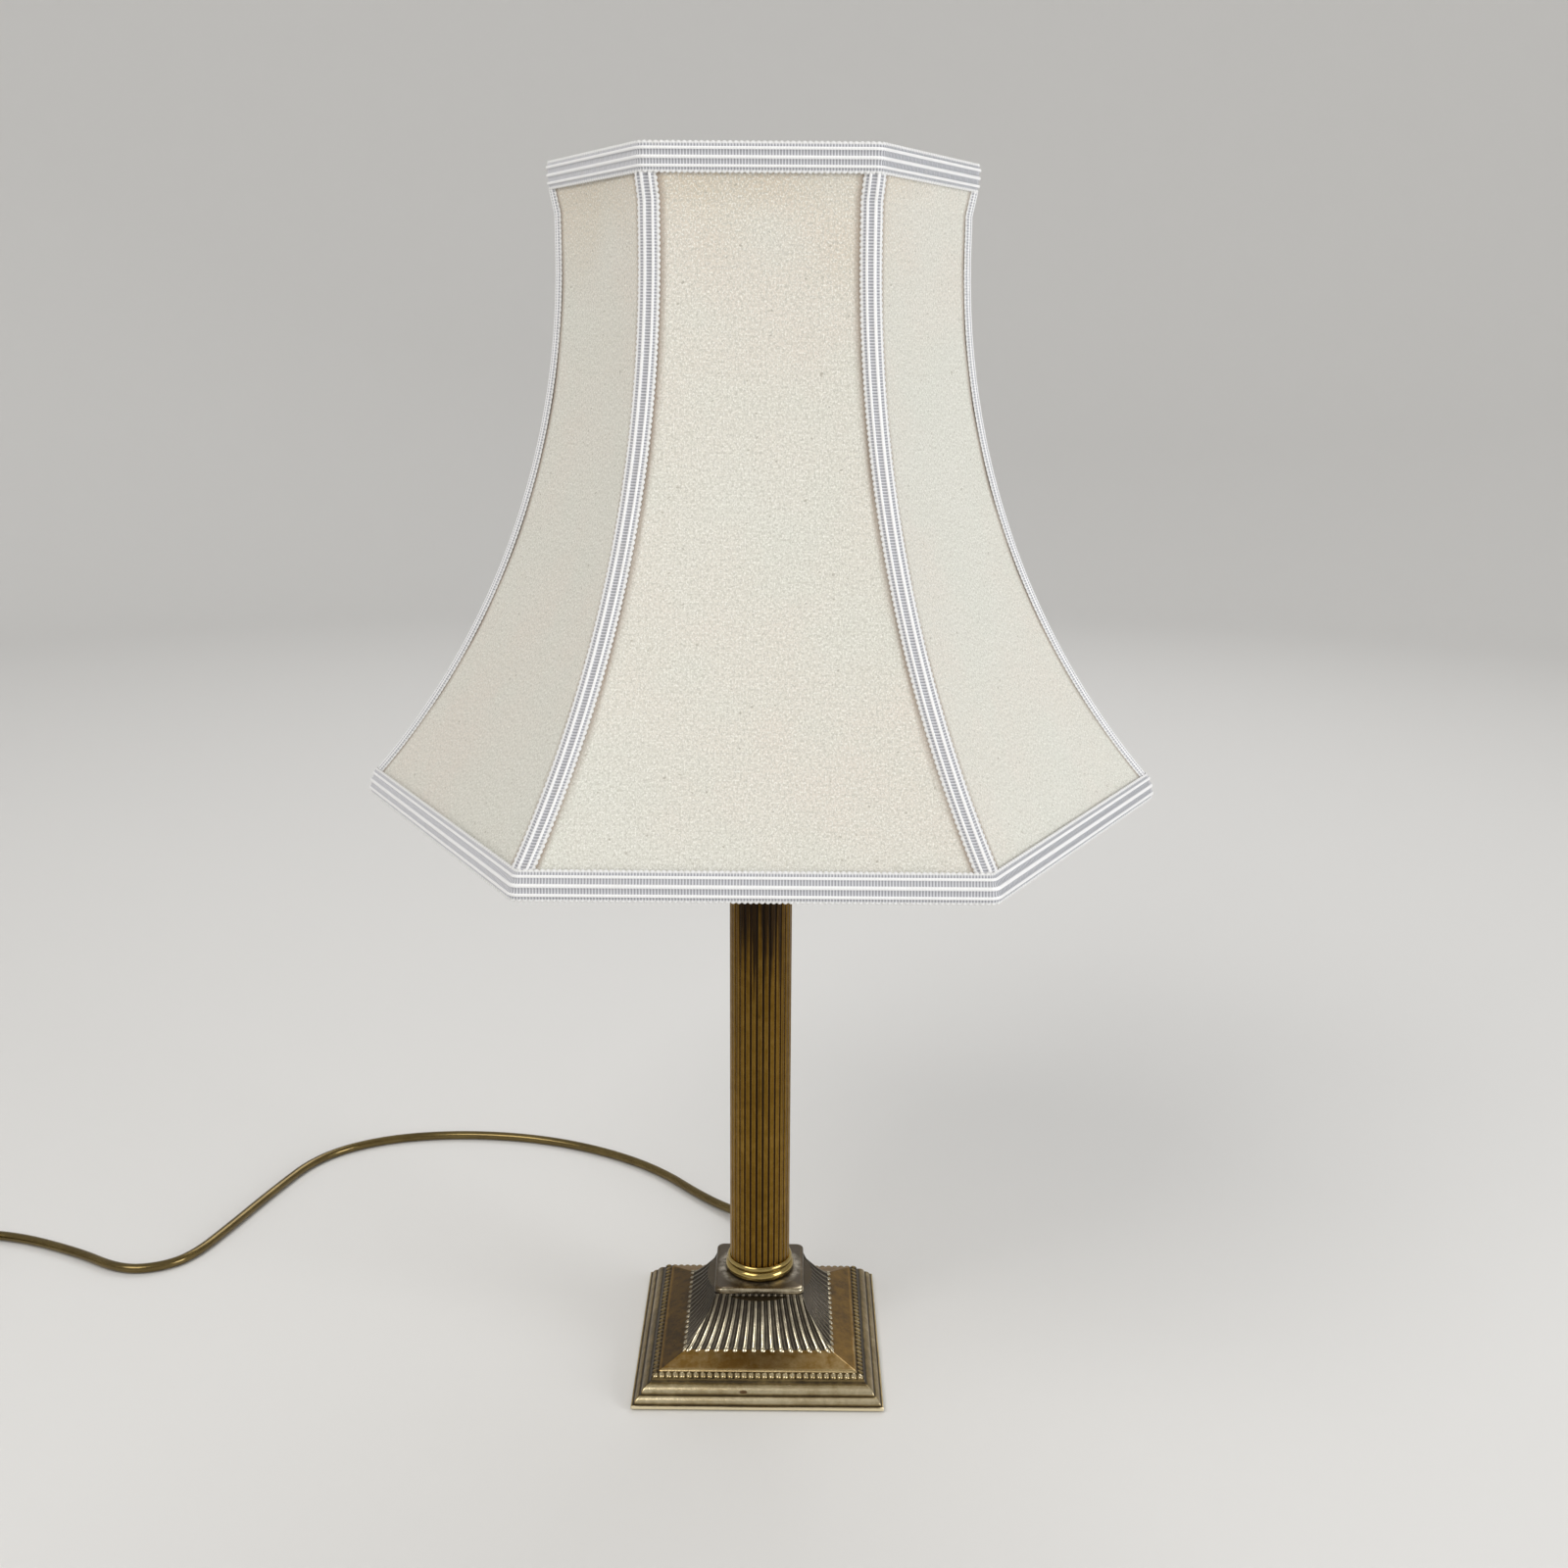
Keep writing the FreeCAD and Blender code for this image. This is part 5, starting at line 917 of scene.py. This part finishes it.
def moulded(name, colour, rough, worn, **fixed):
    """Moulded plastic, enamel or porcelain: faintly clouded, rubbed, with orange peel."""
    paint = Paint(name, Roughness=rough, **fixed)
    where = paint.place()
    cloud = paint.noise(where, 60.0)
    peel = paint.noise(where, 900.0, 2.0)
    rubbed = paint.noise(where, 300.0, 5.0, 0.7)
    tint = paint.mix(cloud.step(0.35, 0.7) * 0.5, colour, tuple(v * 0.88 for v in colour))
    tint = paint.mix(rubbed.step(0.62, 0.74) * 0.4, tint, worn)
    return paint.finish(Base_Color=tint, Roughness=rough + (cloud - 0.5) * 0.2,
                        Normal=paint.bump(peel, 0.0001, 0.35))


def felt_material():
    """Dark green felt, matted in places."""
    paint = Paint("felt", Roughness=0.95, Sheen_Weight=0.4)
    where = paint.place()
    fibre = paint.drawn(where, (1500.0, 420.0, 900.0), 4.0, 0.7)
    tuft = paint.noise(where, 120.0, 4.0, 0.6)
    colour = paint.mix(fibre.step(0.35, 0.7), (0.035, 0.06, 0.035), (0.085, 0.12, 0.07))
    colour = paint.mix(tuft.step(0.55, 0.75) * 0.5, colour, (0.13, 0.13, 0.1))
    return paint.finish(Base_Color=colour, Roughness=0.9 + fibre * 0.1,
                        Normal=paint.bump(fibre + tuft, 0.0004, 0.8))


def bulb_material():
    """Inside-frosted glass, evenly milky with a faint grain."""
    paint = Paint("bulb_frost", Roughness=0.42, Transmission_Weight=0.55, IOR=1.5)
    where = paint.place()
    frost = paint.noise(where, 1600.0, 2.0)
    cloud = paint.noise(where, 45.0, 2.0)
    colour = paint.mix(cloud.step(0.3, 0.7) * 0.5, (0.92, 0.92, 0.9), (0.84, 0.84, 0.81))
    return paint.finish(Base_Color=colour, Roughness=0.35 + frost * 0.2,
                        Normal=paint.bump(frost, 0.00005, 0.4))


def glass_material():
    """Clear drawn glass."""
    paint = Paint("stem_glass", Roughness=0.05, Transmission_Weight=0.95, IOR=1.5)
    cords = paint.drawn(paint.place(), (300.0, 300.0, 40.0), 2.0)
    return paint.finish(Base_Color=paint.mix(cords, (0.93, 0.95, 0.94), (0.99, 1.0, 0.99)),
                        Roughness=0.03 + cords * 0.06)


def lead_material():
    """Thin sheaths of the lead wires, one brown and one blue."""
    paint = Paint("lead_sheath", Roughness=0.45)
    where = paint.place()
    side = paint.split(where)[1]
    mark = paint.noise(where, 900.0)
    colour = paint.mix(side.step(-0.0002, 0.0002), (0.16, 0.07, 0.03), (0.04, 0.1, 0.3))
    colour = paint.mix(mark.step(0.6, 0.75) * 0.3, colour, (0.3, 0.3, 0.3))
    return paint.finish(Base_Color=colour, Roughness=0.4 + mark * 0.15)


def dress(material, *nodes):
    """Give a carried-over node its material in place of the plain one."""
    for node in nodes:
        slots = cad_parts[node].data.materials
        if len(slots) == 0:
            slots.append(material)
        for index in range(len(slots)):
            slots[index] = material


plate_brass = brass_material(
    "plate_brass", (0.06, 0.036, 0.013), (0.255, 0.148, 0.038), (0.7, 0.55, 0.3), 0.3)
reed_brass = brass_material(
    "reed_brass", (0.045, 0.037, 0.027), (0.2, 0.172, 0.124), (0.8, 0.72, 0.53), 0.25)
cap_brass = brass_material(
    "cap_brass", (0.06, 0.045, 0.028), (0.135, 0.104, 0.066), (0.74, 0.66, 0.48), 0.22, halo=True)
step_brass = brass_material(
    "step_brass", (0.045, 0.031, 0.014), (0.31, 0.225, 0.098), (0.92, 0.81, 0.56), 0.2,
    mark=(-0.0073, 0.008))
column_brass = brass_material(
    "column_brass", (0.03, 0.013, 0.004), (0.19, 0.104, 0.015), (0.37, 0.23, 0.055), 0.27,
    runs_and_painted_shade=True)
ring_brass = plain_metal("ring_brass", (0.42, 0.31, 0.11), 0.15, (0.12, 0.09, 0.04))
holder_brass = plain_metal("holder_brass", (0.78, 0.6, 0.33), 0.28, (0.35, 0.25, 0.12))
steel = plain_metal("plated_steel", (0.62, 0.62, 0.6), 0.34)
iron = plain_metal("ballast_iron", (0.16, 0.15, 0.145), 0.62, (0.22, 0.12, 0.07), scale=90.0,
                   metal=0.7, grain=0.6)
aluminium = threaded_metal("cap_aluminium", (0.8, 0.8, 0.79), 0.3, 0.0036)
rod_thread = threaded_metal("rod_thread", (0.68, 0.66, 0.6), 0.35, 0.001)
enamel = moulded("frame_enamel", (0.8, 0.78, 0.72), 0.35, (0.62, 0.55, 0.45))
porcelain = moulded("porcelain", (0.85, 0.83, 0.77), 0.22, (0.6, 0.56, 0.48), Coat_Weight=0.6)
bar_plastic = moulded("holder_plastic", (0.045, 0.04, 0.038), 0.35, (0.1, 0.09, 0.08))
plug_plastic = moulded("plug_plastic", (0.21, 0.15, 0.052), 0.34, (0.12, 0.08, 0.03))
bush_rubber = moulded("bush_rubber", (0.19, 0.135, 0.05), 0.5, (0.11, 0.075, 0.03))
pin_metal = plain_metal("pin_brass", (0.8, 0.66, 0.4), 0.25, (0.5, 0.35, 0.2))
sheath = flex_material()

make_flex(sheath)
make_base(step_brass, plate_brass, reed_brass, cap_brass)
make_column(column_brass)
make_panels(crepe_material())
braid = braid_material()
for seam_number in range(SIDES):
    make_seam(seam_number, braid)
make_band("braid_top", [(86.1, 610.6), (86.2, 608.0), (86.0, 604.0), (85.7, 598.4)],
          "trim_top_band", braid)
make_band("braid_bottom", [(167.2, 323.2), (169.7, 317.3), (170.3, 313.6), (170.3, 310.6)],
          "trim_bottom_band", braid)
lining_cloth = lining_material()
make_binding("binding_top", [(85.4, 603.0), (85.9, 609.2), (84.6, 610.3), (79.0, 609.9),
                             (77.5, 603.0)], lining_cloth)
make_binding("binding_bottom", [(162.6, 318.5), (163.3, 312.8), (165.0, 311.6), (168.6, 311.3),
                                (169.8, 313.0), (169.7, 318.0)], lining_cloth)
make_lining(lining_cloth)

dress(felt_material(), "base_felt")
dress(iron, "base_weight")
dress(steel, "weight_screws", "rod_washer", "rod_nut", "rod_locknut", "terminal_screws")
dress(rod_thread, "threaded_rod")
dress(bush_rubber, "cord_bush")
dress(ring_brass, "column_foot_ring", "column_top_ring", "capital")
dress(holder_brass, "holder_cap", "holder_shell", "holder_screw_shell", "shade_ring_lower",
      "shade_ring_upper")
dress(porcelain, "holder_insulator")
dress(pin_metal, "holder_contact", "plug_pins", "bulb_contact")
dress(bar_plastic, "switch_bar")
dress(bulb_material(), "bulb_glass")
dress(glass_material(), "bulb_stem")
dress(aluminium, "bulb_cap")
dress(plain_metal("filament", (0.35, 0.34, 0.33), 0.4), "bulb_filament")
dress(enamel, "frame_top_ring", "frame_bottom_ring", "frame_struts", "fitter_ring", "fitter_arms")
dress(plug_plastic, "plug_body")
dress(sheath, "inner_cord")
dress(lead_material(), "lead_wires")


# ---- floor and light
def make_stage():
    """A pale round floor that curves up into a low wall behind every side."""
    flat, bend, top, around = 2.6, 1.0, 2.4, 96
    turns = np.linspace(0, math.pi / 2, 17)
    radii = [0.0005, 1.3, *(flat + bend * np.sin(turns)), flat + bend]
    heights = [0.0, 0.0, *(bend - bend * np.cos(turns)), top]
    points = ring_rows(radii, heights, around).reshape(-1, 3)
    faces = []
    for i in range(0, len(points) - around, around):
        for j in range(around):
            k = (j + 1) % around
            faces.append((i + j, i + k, i + around + k, i + around + j))
    mesh = bpy.data.meshes.new("floor")
    mesh.from_pydata(points.tolist(), [], faces)
    mesh.polygons.foreach_set("use_smooth", np.ones(len(faces), bool))
    mesh.flip_normals()
    paint = Paint("floor", Roughness=0.85, Specular_IOR_Level=0.1)
    mesh.materials.append(paint.finish(Base_Color=(0.78, 0.775, 0.765)))
    put("floor", mesh)


def area_light(name, place, aim, size, power, colour=(1.0, 1.0, 1.0)):
    """A rectangular light turned towards a point."""
    data = bpy.data.lights.new(name, "AREA")
    data.shape = "RECTANGLE"
    data.size, data.size_y = size
    data.energy = power
    data.color = colour
    lamp = put(name, data)
    lamp.location = place
    lamp.rotation_euler = (Vector(aim) - Vector(place)).to_track_quat("-Z", "Y").to_euler()


def make_world(strength):
    """An even, slightly warm surrounding light."""
    world = bpy.data.worlds.new("studio")
    world.use_nodes = True
    sockets = world.node_tree.nodes["Background"].inputs
    sockets[0].default_value = (1.0, 0.99, 0.97, 1.0)
    sockets[1].default_value = strength
    bpy.context.scene.world = world


make_stage()
area_light("key", (-1.2, -1.5, 2.1), (0, 0, 0.3), (1.6, 1.2), 27.5, (1.0, 0.98, 0.95))
area_light("fill", (1.9, -1.0, 0.7), (0, 0, 0.45), (1.0, 1.2), 21.0, (0.98, 0.99, 1.0))
area_light("back", (0.4, 1.8, 2.0), (0, 0, 0.4), (1.6, 1.0), 12.0)
make_world(0.5)

bpy.context.scene.view_settings.view_transform = "Standard"
